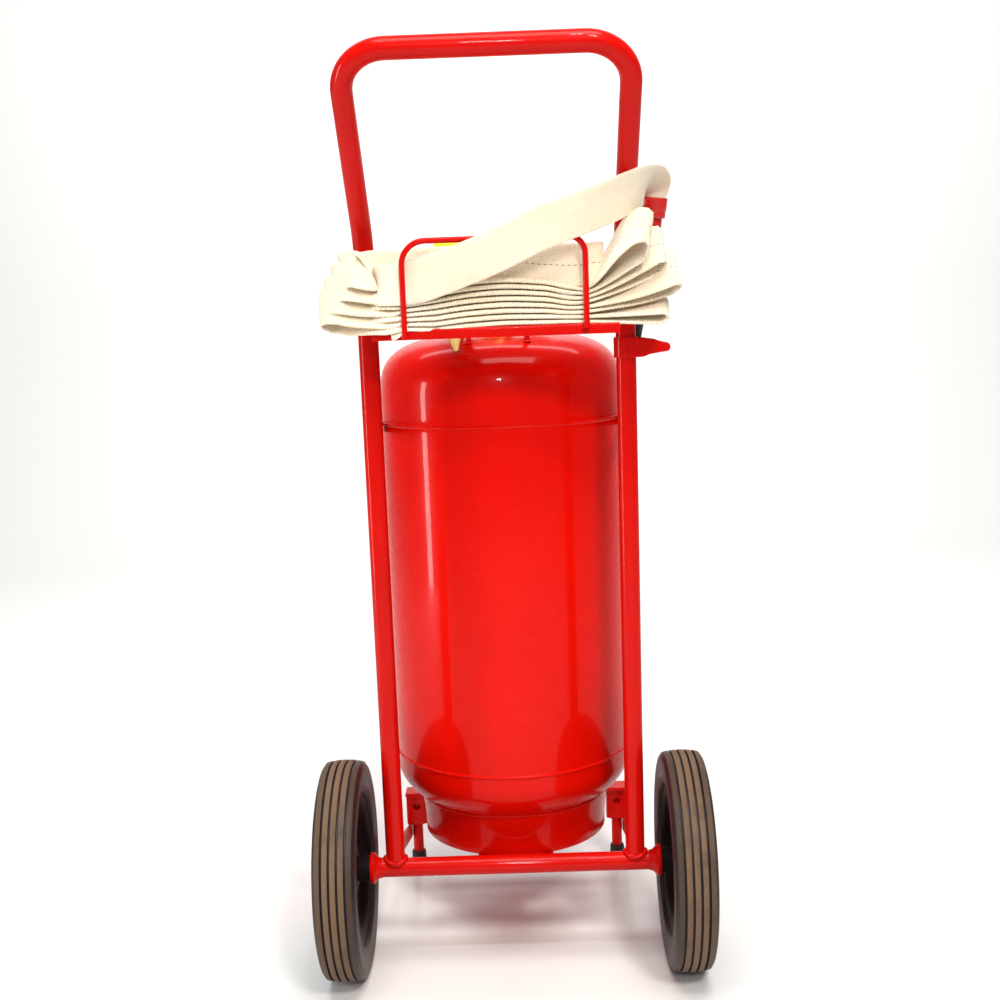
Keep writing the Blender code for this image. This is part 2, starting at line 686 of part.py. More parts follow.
def outlet(brass):
    """Elbow from the valve towards the hose, with a drain plug and the hose coupling."""
    corners = [
        Vector((-0.030 - GAP, TANK_Y, OUTLET_Z)), Vector((ELBOW_X, TANK_Y, OUTLET_Z)),
        Vector((ELBOW_X, AXLE_Y + ELBOW_END_DY, OUTLET_Z)),
    ]
    path = rounded_path(corners, (0.0135,), 4)
    elbow = swept("outlet_elbow", path, 0.0115, brass, bore=0.0070, sides=12)
    drain_top = OUTLET_Z - 0.0090
    drain = turned(
        "drain_boss", [(0, 0.7425), (0.0090, 0.7425), (0.0090, drain_top), (0, drain_top)], brass,
        sides=12, place=(ELBOW_X, AXLE_Y + PLUG_DY, 0),
    )
    boolean(elbow, [drain], "UNION")
    plug = [
        (0, 0.7101), (0.0028, 0.7101), (0.0042, 0.7115), (0.0090, 0.7250), (0.0108, 0.7305),
        (0.0108, 0.7422), (0, 0.7422),
    ]
    turned("drain_plug", plug, brass, sides=12, place=(ELBOW_X, AXLE_Y + PLUG_DY, 0))
    end = AXLE_Y + ELBOW_END_DY - GAP
    coupling = [
        (0.0072, 0), (0.0150, 0), (0.0150, 0.012), (0.0135, 0.013), (0.0135, 0.022), (0.0072, 0.022),
    ]
    turned(
        "hose_coupling", coupling, brass, sides=16, place=(ELBOW_X, end, OUTLET_Z),
        rotation=(pi / 2, 0, 0),
    )


def gauge(brass, white, black, glass):
    """Pressure gauge on the valve's right side, facing the operator."""
    centre = Vector((0.0480, TANK_Y - 0.006, OUTLET_Z))
    turn = (pi / 2, 0, 0)
    case_r, wall = 0.0215, 0.0015
    case = [
        (0, -0.006), (case_r - 0.002, -0.006), (case_r, -0.004), (case_r, 0.012),
        (case_r - wall, 0.012), (case_r - wall, 0.0), (0, 0.0),
    ]
    body = turned("gauge_case", case, brass, sides=20, place=centre, rotation=turn)
    stem = turned(
        "gauge_stem", [(0, 0.0235 + GAP), (0.0050, 0.0235 + GAP), (0.0050, 0.0300), (0, 0.0300)], brass,
        sides=8, place=(0, TANK_Y, OUTLET_Z), rotation=(0, pi / 2, 0),
    )
    boolean(body, [stem], "UNION")
    inner = case_r - wall - GAP
    turned("gauge_dial", [(0, GAP), (inner, GAP), (inner, 0.0015), (0, 0.0015)], white, sides=20,
           place=centre, rotation=turn)
    axis = pivot("gauge_axis", centre, turn)
    needle = turned(
        "gauge_needle", [(0, 0.0022), (0.0022, 0.0022), (0.0022, 0.0048), (0, 0.0048)], black, sides=10,
        parent=axis,
    )
    pointer = extruded(
        "needle_pointer", [(-0.0010, -0.0050), (0.0010, -0.0050), (0.0004, 0.0150), (-0.0004, 0.0150)],
        0.0028, 0.0036, "Z", black, parent=axis,
    )
    boolean(needle, [pointer], "UNION")
    turned("gauge_lens", [(0, 0.0085), (inner, 0.0085), (inner, 0.0105), (0, 0.0105)], glass, sides=20,
           place=centre, rotation=turn)


# ---------------------------------------------------------------- hose and nozzle
def nozzle(red, black):
    """Coupling, body with a shut-off lever, and tip, hanging tip down in the bracket's cup."""
    drop = NOZZLE_LOW - NOZZLE_TOP
    tilt = Vector((0, 0, -1)).rotation_difference(drop.normalized()).to_euler()
    top = (NOZZLE_TOP.x, AXLE_Y + NOZZLE_TOP.y, NOZZLE_TOP.z)
    axis = pivot("nozzle_axis", top, tilt)
    coupling = [
        (0.0080, -0.0210), (0.0145, -0.0210), (0.0150, -0.0110), (0.0145, 0), (0.0080, 0),
    ]
    turned("nozzle_coupling", coupling, red, sides=16, parent=axis)
    body = [
        (0.0070, -0.0980), (0.0105, -0.0980), (0.0120, -0.0600), (0.0120, -0.0213), (0.0070, -0.0213),
    ]
    barrel = turned("nozzle_body", body, red, sides=16, parent=axis)
    post = turned(
        "lever_post", [(0, 0.0100), (0.0040, 0.0100), (0.0040, 0.0160), (0, 0.0160)], red, sides=8,
        parent=axis, place=(0, 0, -0.045), rotation=(-pi / 2, 0, 0),
    )
    boolean(barrel, [post], "UNION")
    tip = [
        (0.0035, -0.1490), (0.0060, -0.1490), (0.0075, -0.1250), (0.0100, -0.0983), (0.0060, -0.0983),
    ]
    turned("nozzle_tip", tip, black, sides=12, parent=axis)
    lever_axis = pivot("nozzle_lever_axis", (0, 0, -0.045), (-pi / 2, 0, 0))
    lever_axis.parent = axis
    low = 0.0160 + GAP
    outline = arc((0, 0), 180, 360, 0.0060, 8) + [(0.0040, 0.045)] + arc((0, 0.047), 0, 180, 0.0038, 6)
    extruded("nozzle_lever", outline, low, low + 0.004, "Z", black, parent=lever_axis)


def hose(canvas):
    """The flaked pack on the shelf, the feed from the valve and the free strip to the nozzle."""
    pack_low, pack_high = AXLE_Y - 0.0590, AXLE_Y - 0.0155
    rest_z = SHELF_TOP_Z + GAP
    outline = [
        (-0.165, rest_z), (0.150, rest_z), (0.176, 0.745), (0.186, 0.765), (0.193, 0.790),
        (0.187, 0.810), (0.170, 0.818), (0.118, 0.814), (0.000, 0.814), (-0.090, 0.800),
        (-0.130, 0.805), (-0.150, 0.818), (-0.163, 0.812), (-0.178, 0.785), (-0.185, 0.760), (-0.183, 0.745),
    ]
    extruded("hose_pack", outline, pack_low, pack_high, "Y", canvas)
    feed_start = AXLE_Y + ELBOW_END_DY - 0.0223 - 2 * GAP
    feed = [
        (ELBOW_X, feed_start, OUTLET_Z), (ELBOW_X, feed_start - 0.005, OUTLET_Z),
        (ELBOW_X, pack_high + 0.0062, OUTLET_Z), (ELBOW_X, pack_high + 0.0012, OUTLET_Z),
    ]
    cord("hose_feed", smooth_route(feed, 0.012), 0.0120, canvas)
    top = Vector((NOZZLE_TOP.x, AXLE_Y + NOZZLE_TOP.y, NOZZLE_TOP.z))
    strip = [
        (-0.0700, AXLE_Y - 0.0660, 0.7900), (-0.0400, AXLE_Y - 0.0700, 0.7980),
        (0.0000, AXLE_Y - 0.0755, 0.8130), (0.0500, AXLE_Y - 0.0770, 0.8370),
        (0.0900, AXLE_Y - 0.0770, 0.8530), (0.1200, AXLE_Y - 0.0760, 0.8660),
        (0.1400, AXLE_Y - 0.0690, 0.8730), (0.1560, AXLE_Y - 0.0550, 0.8820),
        (0.1660, AXLE_Y - 0.0370, 0.8880), (0.1705, AXLE_Y - 0.0180, 0.8900),
        (0.1710, AXLE_Y - 0.0040, 0.8860), (0.1707, AXLE_Y + 0.0025, 0.8780),
        (top.x, top.y, top.z + GAP + 0.0002),
    ]
    cord("hose_strip", smooth_route(strip, 0.013), 0.0055, canvas)


def main():
    clear_scene()
    red = material("red_paint", (0.75, 0.02, 0.01), 0.25)
    tank_red = material("tank_red_paint", (0.80, 0.02, 0.01), 0.12)
    tyre_rubber = material("tyre_rubber", (0.05, 0.035, 0.03), 0.8)
    rubber = material("foot_rubber", (0.02, 0.02, 0.02), 0.8)
    black_steel = material("black_steel", (0.02, 0.02, 0.02), 0.4)
    nylon = material("nylon", (0.85, 0.83, 0.78), 0.5)
    zinc = material("zinc_steel", (0.6, 0.6, 0.6), 0.3, 1.0)
    brass = material("brass", (0.75, 0.5, 0.15), 0.3, 1.0)
    yellow = material("yellow_vinyl", (0.9, 0.75, 0.02), 0.4)
    white = material("dial_white", (0.9, 0.9, 0.9), 0.5)
    black = material("black_plastic", (0.02, 0.02, 0.02), 0.4)
    glass = material("gauge_glass", (0.9, 0.95, 0.95), 0.05)
    canvas = material("hose_canvas", (0.85, 0.78, 0.66), 0.9)
    frame_tube(red)
    axle_tube(red)
    axle(red, zinc)
    hose_shelf(red)
    hose_bail(red)
    nozzle_bracket(red)
    front_support(red, rubber)
    for side, sign in SIDES:
        wheel(side, sign, tyre_rubber, black_steel, nylon, zinc)
    tank(tank_red, zinc)
    lifting_lugs(red)
    tank_lugs(red)
    valve(brass, zinc, yellow)
    outlet(brass)
    gauge(brass, white, black, glass)
    nozzle(red, black)
    hose(canvas)
    bpy.context.view_layer.update()


main()
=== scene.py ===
"""Looks of the wheeled powder extinguisher: enamel, rubber, brass and a flaked canvas hose."""
from math import atan2, cos, pi, radians, sin

import bmesh
import bpy
from mathutils import Matrix, Vector, noise


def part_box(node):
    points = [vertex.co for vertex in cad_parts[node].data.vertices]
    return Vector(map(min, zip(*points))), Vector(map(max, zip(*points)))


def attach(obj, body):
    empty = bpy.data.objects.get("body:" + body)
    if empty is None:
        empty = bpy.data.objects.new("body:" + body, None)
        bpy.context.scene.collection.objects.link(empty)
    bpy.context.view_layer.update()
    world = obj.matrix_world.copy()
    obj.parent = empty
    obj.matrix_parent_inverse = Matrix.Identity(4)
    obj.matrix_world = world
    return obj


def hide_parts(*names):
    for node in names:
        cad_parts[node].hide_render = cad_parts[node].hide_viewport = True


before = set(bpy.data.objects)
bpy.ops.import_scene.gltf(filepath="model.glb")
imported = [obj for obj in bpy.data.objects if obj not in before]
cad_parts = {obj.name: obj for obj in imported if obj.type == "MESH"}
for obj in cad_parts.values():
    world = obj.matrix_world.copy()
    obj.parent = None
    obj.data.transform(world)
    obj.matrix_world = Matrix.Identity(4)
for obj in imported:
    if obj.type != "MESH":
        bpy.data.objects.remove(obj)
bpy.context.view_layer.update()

# ---------------------------------------------------------------- places, from the frame
def middle(node):
    """The middle of a CAD node's box."""
    low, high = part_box(node)
    return (Vector(low) + Vector(high)) / 2


AXLE = middle("axle_rod")
AXLE_Y, AXLE_Z = AXLE.y, AXLE.z
TANK_Y = middle("tank_barrel").y
WHEEL_X = middle("tyre_right").x
SIDES = (("left", -1), ("right", 1))

TUBE_R = 0.01085
LEG_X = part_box("frame_tube")[1][0] - TUBE_R
BEND_Z = 0.8275
LEAN = radians(41.4)
GRIP_RUN = 0.2275
TANK_R = 0.1439
WELD_TOP_Z = 0.6274
WELD_LOW_Z = 0.2241
DOME_SKIRT = 0.016
DOME_H = 0.083
DOME_POWER = 3.5
DOME_LOW_H = 0.07
DOME_BASE_Z = WELD_TOP_Z + DOME_SKIRT
DOME_LOW_BASE_Z = WELD_LOW_Z - DOME_SKIRT
RING_R = 0.1123
RING_LOW_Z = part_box("tank_foot_ring")[0][2]
SHELF_TOP_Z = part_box("hose_shelf")[1][2]
SHELF_LIP_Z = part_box("hose_shelf")[0][2]
SHELF_Y = (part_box("hose_shelf")[0][1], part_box("hose_shelf")[1][1])
BAIL_HALF = 0.0935
BAIL_TOP_Z = 0.8265
BAIL_Y = middle("hose_bail").y
OUTLET_Z = 0.765
LEVER_Z = 0.825
ELBOW_X = middle("drain_plug").x
PLUG_Y = middle("drain_plug").y
FOOT_X = middle("front_leg_right").x
FOOT_Y = middle("front_leg_right").y
NOZZLE_TOP = Vector((0.1705, AXLE_Y + 0.004, 0.866))
NOZZLE_LOW = Vector((0.15, AXLE_Y + 0.024, 0.716))
HOSE_W = 0.043
HOSE_T = 0.0036
TUBE_WALL = 0.002
UP = (0, 0, 1)


# ---------------------------------------------------------------- mesh tools
def hook(obj, *nodes, body="trolley"):
    """Puts a piece on its body and hides the CAD nodes that it stands for."""
    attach(obj, body)
    if nodes:
        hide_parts(*nodes)
    return obj


def finished(name, bm, mat, smooth=40):
    bmesh.ops.remove_doubles(bm, verts=bm.verts, dist=1e-6)
    bmesh.ops.recalc_face_normals(bm, faces=bm.faces)
    mesh = bpy.data.meshes.new(name)
    bm.to_mesh(mesh)
    bm.free()
    mesh.shade_smooth()
    mesh.set_sharp_from_angle(angle=radians(smooth))
    mesh.materials.append(mat)
    obj = bpy.data.objects.new(name, mesh)
    bpy.context.scene.collection.objects.link(obj)
    return obj


def softened(obj, width, segments=2):
    """Rounds the sharp edges of a hard piece, as paint and tooling do."""
    bevel = obj.modifiers.new("Edges", "BEVEL")
    bevel.width = width
    bevel.segments = segments
    bevel.limit_method = "ANGLE"
    bevel.angle_limit = radians(35)
    bevel.harden_normals = True
    return obj


def frames_along(path, closed=False):
    """Tangent, right and up at each point, carried along the path without twist."""
    count = len(path)
    tangents = []
    for i in range(count):
        before = path[(i - 1) % count] if closed or i else path[0]
        after = path[(i + 1) % count] if closed or i < count - 1 else path[-1]
        tangents.append((after - before).normalized())
    start = Vector(UP) if abs(tangents[0].z) < 0.9 else Vector((0, 1, 0))
    right = tangents[0].cross(start).normalized()
    frames = []
    for i, tangent in enumerate(tangents):
        if i:
            right = tangents[i - 1].rotation_difference(tangent) @ right
        right = (right - tangent * right.dot(tangent)).normalized()
        frames.append((tangent, right, right.cross(tangent)))
    return frames


def swept(name, path, radius, mat, bore=0.0, sides=32, closed=False):
    """A round bar along a path. The radius may be a number or one number for each point."""
    bm = bmesh.new()
    frames = frames_along(path, closed)
    skins = []
    for shrink in [0.0] + ([bore] if bore else []):
        rings = []
        for i, (point, (_, right, up)) in enumerate(zip(path, frames)):
            size = radius[i] if isinstance(radius, list) else radius
            if shrink:
                size = shrink
            turn = [2 * pi * k / sides for k in range(sides)]
            rings.append([bm.verts.new(point + right * (size * cos(a)) + up * (size * sin(a))) for a in turn])
        pairs = list(zip(rings, rings[1:] + (rings[:1] if closed else [])))
        for ring, after in pairs[: len(rings) if closed else len(rings) - 1]:
            for k in range(sides):
                j = (k + 1) % sides
                bm.faces.new((ring[k], ring[j], after[j], after[k]))
        skins.append(rings)
    if not closed:
        for end in (0, -1):
            if bore:
                outer, inner = skins[0][end], skins[1][end]
                for k in range(sides):
                    j = (k + 1) % sides
                    bm.faces.new((outer[k], outer[j], inner[j], inner[k]))
            else:
                bm.faces.new(skins[0][end])
    return finished(name, bm, mat)


def turned(name, outline, mat, sides=48, place=(0, 0, 0), turn=None, smooth=30, marks=None):
    """Spins a closed (radius, height) outline about Z, then turns and moves it into place.

    marks gives each outline point a value that the material can read as the attribute "mark".
    """
    bm = bmesh.new()
    layer = bm.verts.layers.float.new("mark")
    matrix = Matrix.Translation(place) @ (turn.to_4x4() if turn else Matrix())
    rings = []
    for i, (radius, height) in enumerate(outline):
        count = sides if radius else 1
        ring = []
        for k in range(count):
            a = 2 * pi * k / sides
            vert = bm.verts.new(matrix @ Vector((radius * cos(a), radius * sin(a), height)))
            vert[layer] = marks[i] if marks else 0.0
            ring.append(vert)
        rings.append(ring * sides if count == 1 else ring)
    for ring, after in zip(rings, rings[1:] + rings[:1]):
        for k in range(sides):
            j = (k + 1) % sides
            corners = []
            for vert in (ring[k], ring[j], after[j], after[k]):
                if vert not in corners:
                    corners.append(vert)
            if len(corners) > 2:
                bm.faces.new(corners)
    return finished(name, bm, mat, smooth)


def sleeve(inner, outer, low, high, edge):
    """Outline of a ring or rod whose outer edges are broken."""
    return [(inner, low), (outer - edge, low), (outer, low + edge), (outer, high - edge),
            (outer - edge, high), (inner, high)]


def extruded(name, outline, low, high, axis, mat):
    """Extrudes a closed outline along X with (y, z) points, Y with (x, z) or Z with (x, y)."""
    def place(a, b, height):
        return {"X": (height, a, b), "Y": (a, height, b), "Z": (a, b, height)}[axis]

    bm = bmesh.new()
    bottom = bm.faces.new([bm.verts.new(place(a, b, low)) for a, b in outline])
    grown = bmesh.ops.extrude_face_region(bm, geom=[bottom])
    verts = [item for item in grown["geom"] if isinstance(item, bmesh.types.BMVert)]
    bmesh.ops.translate(bm, verts=verts, vec=place(0, 0, high - low))
    return finished(name, bm, mat)


def block(name, low, high, mat):
    outline = [(low[0], low[2]), (high[0], low[2]), (high[0], high[2]), (low[0], high[2])]
    return extruded(name, outline, low[1], high[1], "Y", mat)


def arc(centre, start, end, radius, steps):
    """Points on a circle in a plane, from one angle to another (degrees)."""
    angles = [radians(start + (end - start) * i / steps) for i in range(steps + 1)]
    return [(centre[0] + radius * cos(a), centre[1] + radius * sin(a)) for a in angles]


def rounded_path(corners, radii, steps=12, spacing=0.0):
    """Straight runs joined by arcs; with a spacing, the runs are divided too."""
    path = [corners[0]]
    for before, corner, after, radius in zip(corners, corners[1:], corners[2:], radii):
        to_before = (before - corner).normalized()
        to_after = (after - corner).normalized()
        half = to_before.angle(to_after) / 2
        reach = radius * cos(half) / sin(half)
        centre = corner + (to_before + to_after).normalized() * (radius / sin(half))
        first = corner + to_before * reach - centre
        last = corner + to_after * reach - centre
        for i in range(steps + 1):
            path.append(centre + first.slerp(last, i / steps).normalized() * radius)
    path.append(corners[-1])
    if not spacing:
        return path
    divided = [path[0]]
    for a, b in zip(path, path[1:]):
        count = max(1, round((b - a).length / spacing))
        divided += [a.lerp(b, (i + 1) / count) for i in range(count)]
    return divided


def staple(half, y, low_z, top_z, end_z=None):
    """Corners of a rod bent to an inverted U across X."""
    ends = ((-half, low_z), (-half, top_z), (half, top_z), (half, low_z if end_z is None else end_z))
    return [Vector((x, y, z)) for x, z in ends]


def weld_bead(name, path, radius, mat, closed=True):
    """A lumpy line of weld under paint, with the ripples of the torch along it."""
    rough = []
    for point in path:
        lump = noise.noise(point * 260) * 0.3 + noise.noise(point * 900) * 0.16
        rough.append(radius * (1 + lump))
    return hook(swept(name, path, rough, mat, sides=12, closed=closed))


def facing(direction):
    """The turn that takes +Z to a direction."""
    return Vector(UP).rotation_difference(Vector(direction)).to_matrix()


def circle(centre, radius, normal, count):
    """Points round a circle that faces along a direction."""
    turn = facing(normal)
    angles = [2 * pi * i / count for i in range(count)]
    return [Vector(centre) + turn @ Vector((radius * cos(a), radius * sin(a), 0)) for a in angles]


# ---------------------------------------------------------------- material tools
class Shade:
    """A short way to write a Principled material's node tree."""

    def __init__(self, name, roughness, metallic=0.0, **sockets):
        self.mat = bpy.data.materials.new(name)
        self.mat.use_nodes = True
        self.tree = self.mat.node_tree
        self.shader = self.tree.nodes["Principled BSDF"]
        self.shader.inputs["Roughness"].default_value = roughness
        self.shader.inputs["Metallic"].default_value = metallic
        for socket, value in sockets.items():
            self.shader.inputs[socket.replace("_", " ")].default_value = value
        self.where = self.node("ShaderNodeTexCoord").outputs["Object"]

    def node(self, kind, **values):
        node = self.tree.nodes.new(kind)
        for key, value in values.items():
            if key in node.inputs:
                self.feed(node.inputs[key], value)
            else:
                setattr(node, key, value)
        return node

    def feed(self, socket, value):
        if isinstance(value, bpy.types.NodeSocket):
            self.tree.links.new(value, socket)
        else:
            socket.default_value = value

    def noise(self, scale, detail=4.0, rough=0.5):
        made = self.node("ShaderNodeTexNoise", Scale=scale, Detail=detail, Roughness=rough)
        self.tree.links.new(self.where, made.inputs["Vector"])
        return made.outputs["Fac"]

    def math(self, kind, a, b=0.0):
        made = self.node("ShaderNodeMath", operation=kind)
        self.feed(made.inputs[0], a)
        self.feed(made.inputs[1], b)
        return made.outputs[0]

    def times(self, a, b):
        return self.math("MULTIPLY", a, b)

    def between(self, value, low, high, out_low=0.0, out_high=1.0):
        made = self.node("ShaderNodeMapRange")
        for socket, number in zip(("Value", "From Min", "From Max", "To Min", "To Max"),
                                  (value, low, high, out_low, out_high)):
            self.feed(made.inputs[socket], number)
        return made.outputs["Result"]

    def mix(self, factor, a, b):
        made = self.node("ShaderNodeMix", data_type="RGBA")
        self.feed(made.inputs["Factor"], factor)
        for socket, value in ((made.inputs[6], a), (made.inputs[7], b)):
            self.feed(socket, (*value, 1.0) if isinstance(value, tuple) and len(value) == 3 else value)
        return made.outputs[2]

    def colour(self, value):
        self.feed(self.shader.inputs["Base Color"], (*value, 1.0) if isinstance(value, tuple) else value)

    def roughness(self, value):
        self.feed(self.shader.inputs["Roughness"], value)

    def bump(self, height, distance, strength=1.0):
        made = self.node("ShaderNodeBump", Height=height, Distance=distance, Strength=strength)
        before = self.shader.inputs["Normal"].links
        if before:
            self.tree.links.new(before[0].from_socket, made.inputs["Normal"])
        self.tree.links.new(made.outputs["Normal"], self.shader.inputs["Normal"])

    def attribute(self, name, output="Fac"):
        return self.node("ShaderNodeAttribute", attribute_name=name).outputs[output]

    def axes(self, vector=None):
        split = self.node("ShaderNodeSeparateXYZ")
        self.tree.links.new(vector or self.where, split.inputs[0])
        return split.outputs


def enamel(name, colour, dark, roughness, coat):
    """Gloss paint: orange peel, slow colour drift, and dust that lies thin on it."""
    shade = Shade(name, roughness, Coat_Weight=coat, Coat_Roughness=0.04, Specular_IOR_Level=0.05)
    drift = shade.noise(9, 3)
    shade.colour(shade.mix(shade.between(drift, 0.35, 0.75), colour, dark))
    smear = shade.noise(38, 6, 0.65)
    shade.roughness(shade.between(smear, 0.3, 0.8, roughness, roughness + 0.1))
    shade.bump(shade.noise(240, 2), 0.0001, 0.3)
    shade.bump(shade.noise(24, 1), 0.0009, 0.22)
    return shade.mat


def tyre_rubber(name, dusty):
    """Old rubber, brown-black, with pale dust where the mark says that the tread is dirty."""
    shade = Shade(name, 0.55, Specular_IOR_Level=0.25)
    worn = shade.noise(60, 8, 0.7)
    dark = shade.mix(worn, (0.01, 0.006, 0.006), (0.034, 0.023, 0.021))
    if dusty:
        fine = shade.noise(420, 6, 0.7)
        patch = shade.noise(22, 4, 0.6)
        dust = shade.mix(fine, (0.11, 0.066, 0.04), (0.22, 0.14, 0.088))
        cover = shade.times(shade.attribute("mark"), shade.between(patch, 0.28, 0.52, 0.45, 1.0))
        shade.colour(shade.mix(cover, dark, dust))
        shade.roughness(shade.between(cover, 0.0, 1.0, 0.42, 0.92))
        shade.bump(fine, 0.0004, 0.5)
    else:
        shade.colour(dark)
    shade.bump(worn, 0.0005, 0.35)
    return shade.mat


def metal(name, colour, roughness, stain):
    """Plated or cast metal with stains, uneven gloss and fine scratches."""
    shade = Shade(name, roughness, 1.0)
    spots = shade.noise(90, 6, 0.6)
    shade.colour(shade.mix(shade.between(spots, 0.4, 0.75), colour, stain))
    shade.roughness(shade.between(shade.noise(270, 5), 0.3, 0.8, roughness, roughness + 0.18))
    shade.bump(shade.noise(600, 3), 0.0001, 0.35)
    return shade.mat


def plastic(name, colour, roughness, grain=500):
    shade = Shade(name, roughness)
    shade.colour(shade.mix(shade.noise(30, 3), colour, tuple(c * 0.8 for c in colour)))
    shade.bump(shade.noise(grain, 3), 0.0001, 0.4)
    return shade.mat


def canvas():
    """Flat-woven hose jacket: diagonal twill, a stitched brown centre line and corded edges.

    The attribute "weave" holds metres along the hose, metres across it, and 1 on the side with the line.
    """
    shade = Shade("hose_canvas", 0.9, Sheen_Weight=0.25, Sheen_Roughness=0.5)
    along, across, lined = shade.axes(shade.attribute("weave", "Vector"))
    edge = shade.math("ABSOLUTE", across)
    slant = shade.math("ADD", along, across)
    twill = shade.math("SINE", shade.times(slant, 2 * pi / 0.0024))
    cord = shade.math("SINE", shade.times(along, 2 * pi / 0.003))
    at_edge = shade.between(edge, 0.018, 0.0192)
    weave = shade.mix(at_edge, shade.between(twill, -1, 1), shade.between(cord, -1, 1))
    tint = shade.mix(shade.between(shade.noise(14, 3), 0.35, 0.7), (0.95, 0.83, 0.62), (0.97, 0.9, 0.76))
    shadow = shade.mix(shade.between(weave, 0, 1, 0.42, 0.0), tint, (0.6, 0.4, 0.2))
    dash = shade.math("SINE", shade.times(along, 2 * pi / 0.0062))
    line = shade.times(shade.between(edge, 0.0006, 0.0003), shade.between(dash, -0.25, 0.05))
    line = shade.times(line, shade.between(lined, 0.4, 0.6))
    shade.colour(shade.mix(shade.times(line, 0.85), shadow, (0.2, 0.09, 0.035)))
    shade.bump(weave, 0.0007, 0.75)
    shade.bump(shade.noise(800, 4), 0.0002, 0.4)
    return shade.mat


RED = enamel("trolley_enamel", (0.58, 0.0035, 0.0012), (0.5, 0.003, 0.0012), 0.3, 0.22)
TANK_RED = enamel("tank_enamel", (0.7, 0.004, 0.0006), (0.64, 0.0035, 0.0006), 0.22, 0.2)
TREAD = tyre_rubber("tread_rubber", True)
PAD = tyre_rubber("foot_rubber", False)
BLACK = enamel("wheel_black", (0.006, 0.004, 0.004), (0.012, 0.009, 0.008), 0.45, 0.08)
ZINC = metal("zinc_steel", (0.6, 0.6, 0.61), 0.3, (0.42, 0.41, 0.38))
STEEL = metal("plain_steel", (0.68, 0.68, 0.7), 0.22, (0.5, 0.5, 0.5))
BRASS = metal("brass", (0.78, 0.52, 0.2), 0.24, (0.52, 0.33, 0.12))
YELLOW = plastic("yellow_vinyl", (0.92, 0.78, 0.005), 0.35)
NYLON = plastic("nylon", (0.78, 0.75, 0.66), 0.5)
BLACK_PLASTIC = plastic("black_plastic", (0.015, 0.015, 0.016), 0.42)
RED_PLASTIC = plastic("red_plastic", (0.62, 0.012, 0.008), 0.3, 220)
CANVAS = canvas()

bpy.context.scene.view_settings.view_transform = "Standard"


# ---------------------------------------------------------------- camera, light and floor
def camera():
    """Stands behind the trolley at eye height of a seated person, with a slight roll."""
    data = bpy.data.cameras.new("camera")
    data.sensor_width = 36
    data.lens = 48.98
    data.shift_x = -0.006
    data.shift_y = 0.0548
    obj = bpy.data.objects.new("camera", data)
    pitch, yaw, roll = radians(10.76), radians(-0.78), radians(-2.03)
    look = Vector((sin(yaw) * cos(pitch), cos(yaw) * cos(pitch), -sin(pitch)))
    right = Vector((cos(yaw), -sin(yaw), 0))
    up = right.cross(look)
    turned_right = right * cos(roll) + up * sin(roll)
    turned_up = up * cos(roll) - right * sin(roll)
    matrix = Matrix((turned_right, turned_up, -look)).transposed().to_4x4()
    matrix.translation = (0.0216, AXLE_Y - 1.4759, 0.7686)
    obj.matrix_world = matrix
    bpy.context.scene.collection.objects.link(obj)
    bpy.context.scene.camera = obj


def area_light(name, place, target, size, power, colour=(1, 1, 1)):
    data = bpy.data.lights.new(name, "AREA")
    data.shape = "RECTANGLE"
    data.size, data.size_y = size
    data.energy = power
    data.color = colour
    obj = bpy.data.objects.new(name, data)
    obj.location = place
    obj.rotation_euler = (Vector(target) - Vector(place)).to_track_quat("-Z", "Y").to_euler()
    bpy.context.scene.collection.objects.link(obj)


def studio():
    shade = Shade("floor_paper", 0.9)
    shade.colour((0.8, 0.8, 0.79))
    shade.bump(shade.noise(60, 2), 0.0002, 0.2)
    bm = bmesh.new()
    half, back, rise = 4.0, 3.2, 2.6
    profile = [(-half, 0.0), (back - 0.8, 0.0)] + [
        (back - 0.8 + 0.8 * sin(radians(a)), 0.8 - 0.8 * cos(radians(a))) for a in range(10, 91, 10)
    ] + [(back, rise)]
    rows = [[bm.verts.new((x, y, z)) for x in (-half, half)] for y, z in profile]
    for row, after in zip(rows, rows[1:]):
        bm.faces.new((row[0], row[1], after[1], after[0]))
    floor = finished("floor", bm, shade.mat)
    world = bpy.data.worlds.new("studio")
    bpy.context.scene.world = world
    world.use_nodes = True
    background = world.node_tree.nodes["Background"]
    background.inputs["Color"].default_value = (0.92, 0.95, 1.0, 1.0)
    background.inputs["Strength"].default_value = 0.24
    area_light("top_box", (0.1, -0.7, 2.6), (0, 0, 0.5), (1.6, 1.0), 40, (1, 0.95, 0.88))
    area_light("left_strip", (-2.1, -0.5, 0.55), (0, 0.1, 0.4), (0.2, 1.3), 19)
    area_light("back_wash", (0, 1.4, 2.6), (0, 2.8, 0.6), (3.0, 1.0), 60)
    area_light("front_fill", (0.9, -2.5, 2.7), (0, 0, 0.5), (0.5, 0.5), 58, (1, 0.95, 0.88))
    area_light("hot_lamp", (-0.02, -2.6, 1.75), (0, 0, 0.7), (0.16, 0.16), 13)
    for x in (-0.55, 0.25, 0.75):
        area_light("ceiling_lamp", (x, -1.5, 2.9), (0, 0, 0.7), (0.1, 0.1), 6)


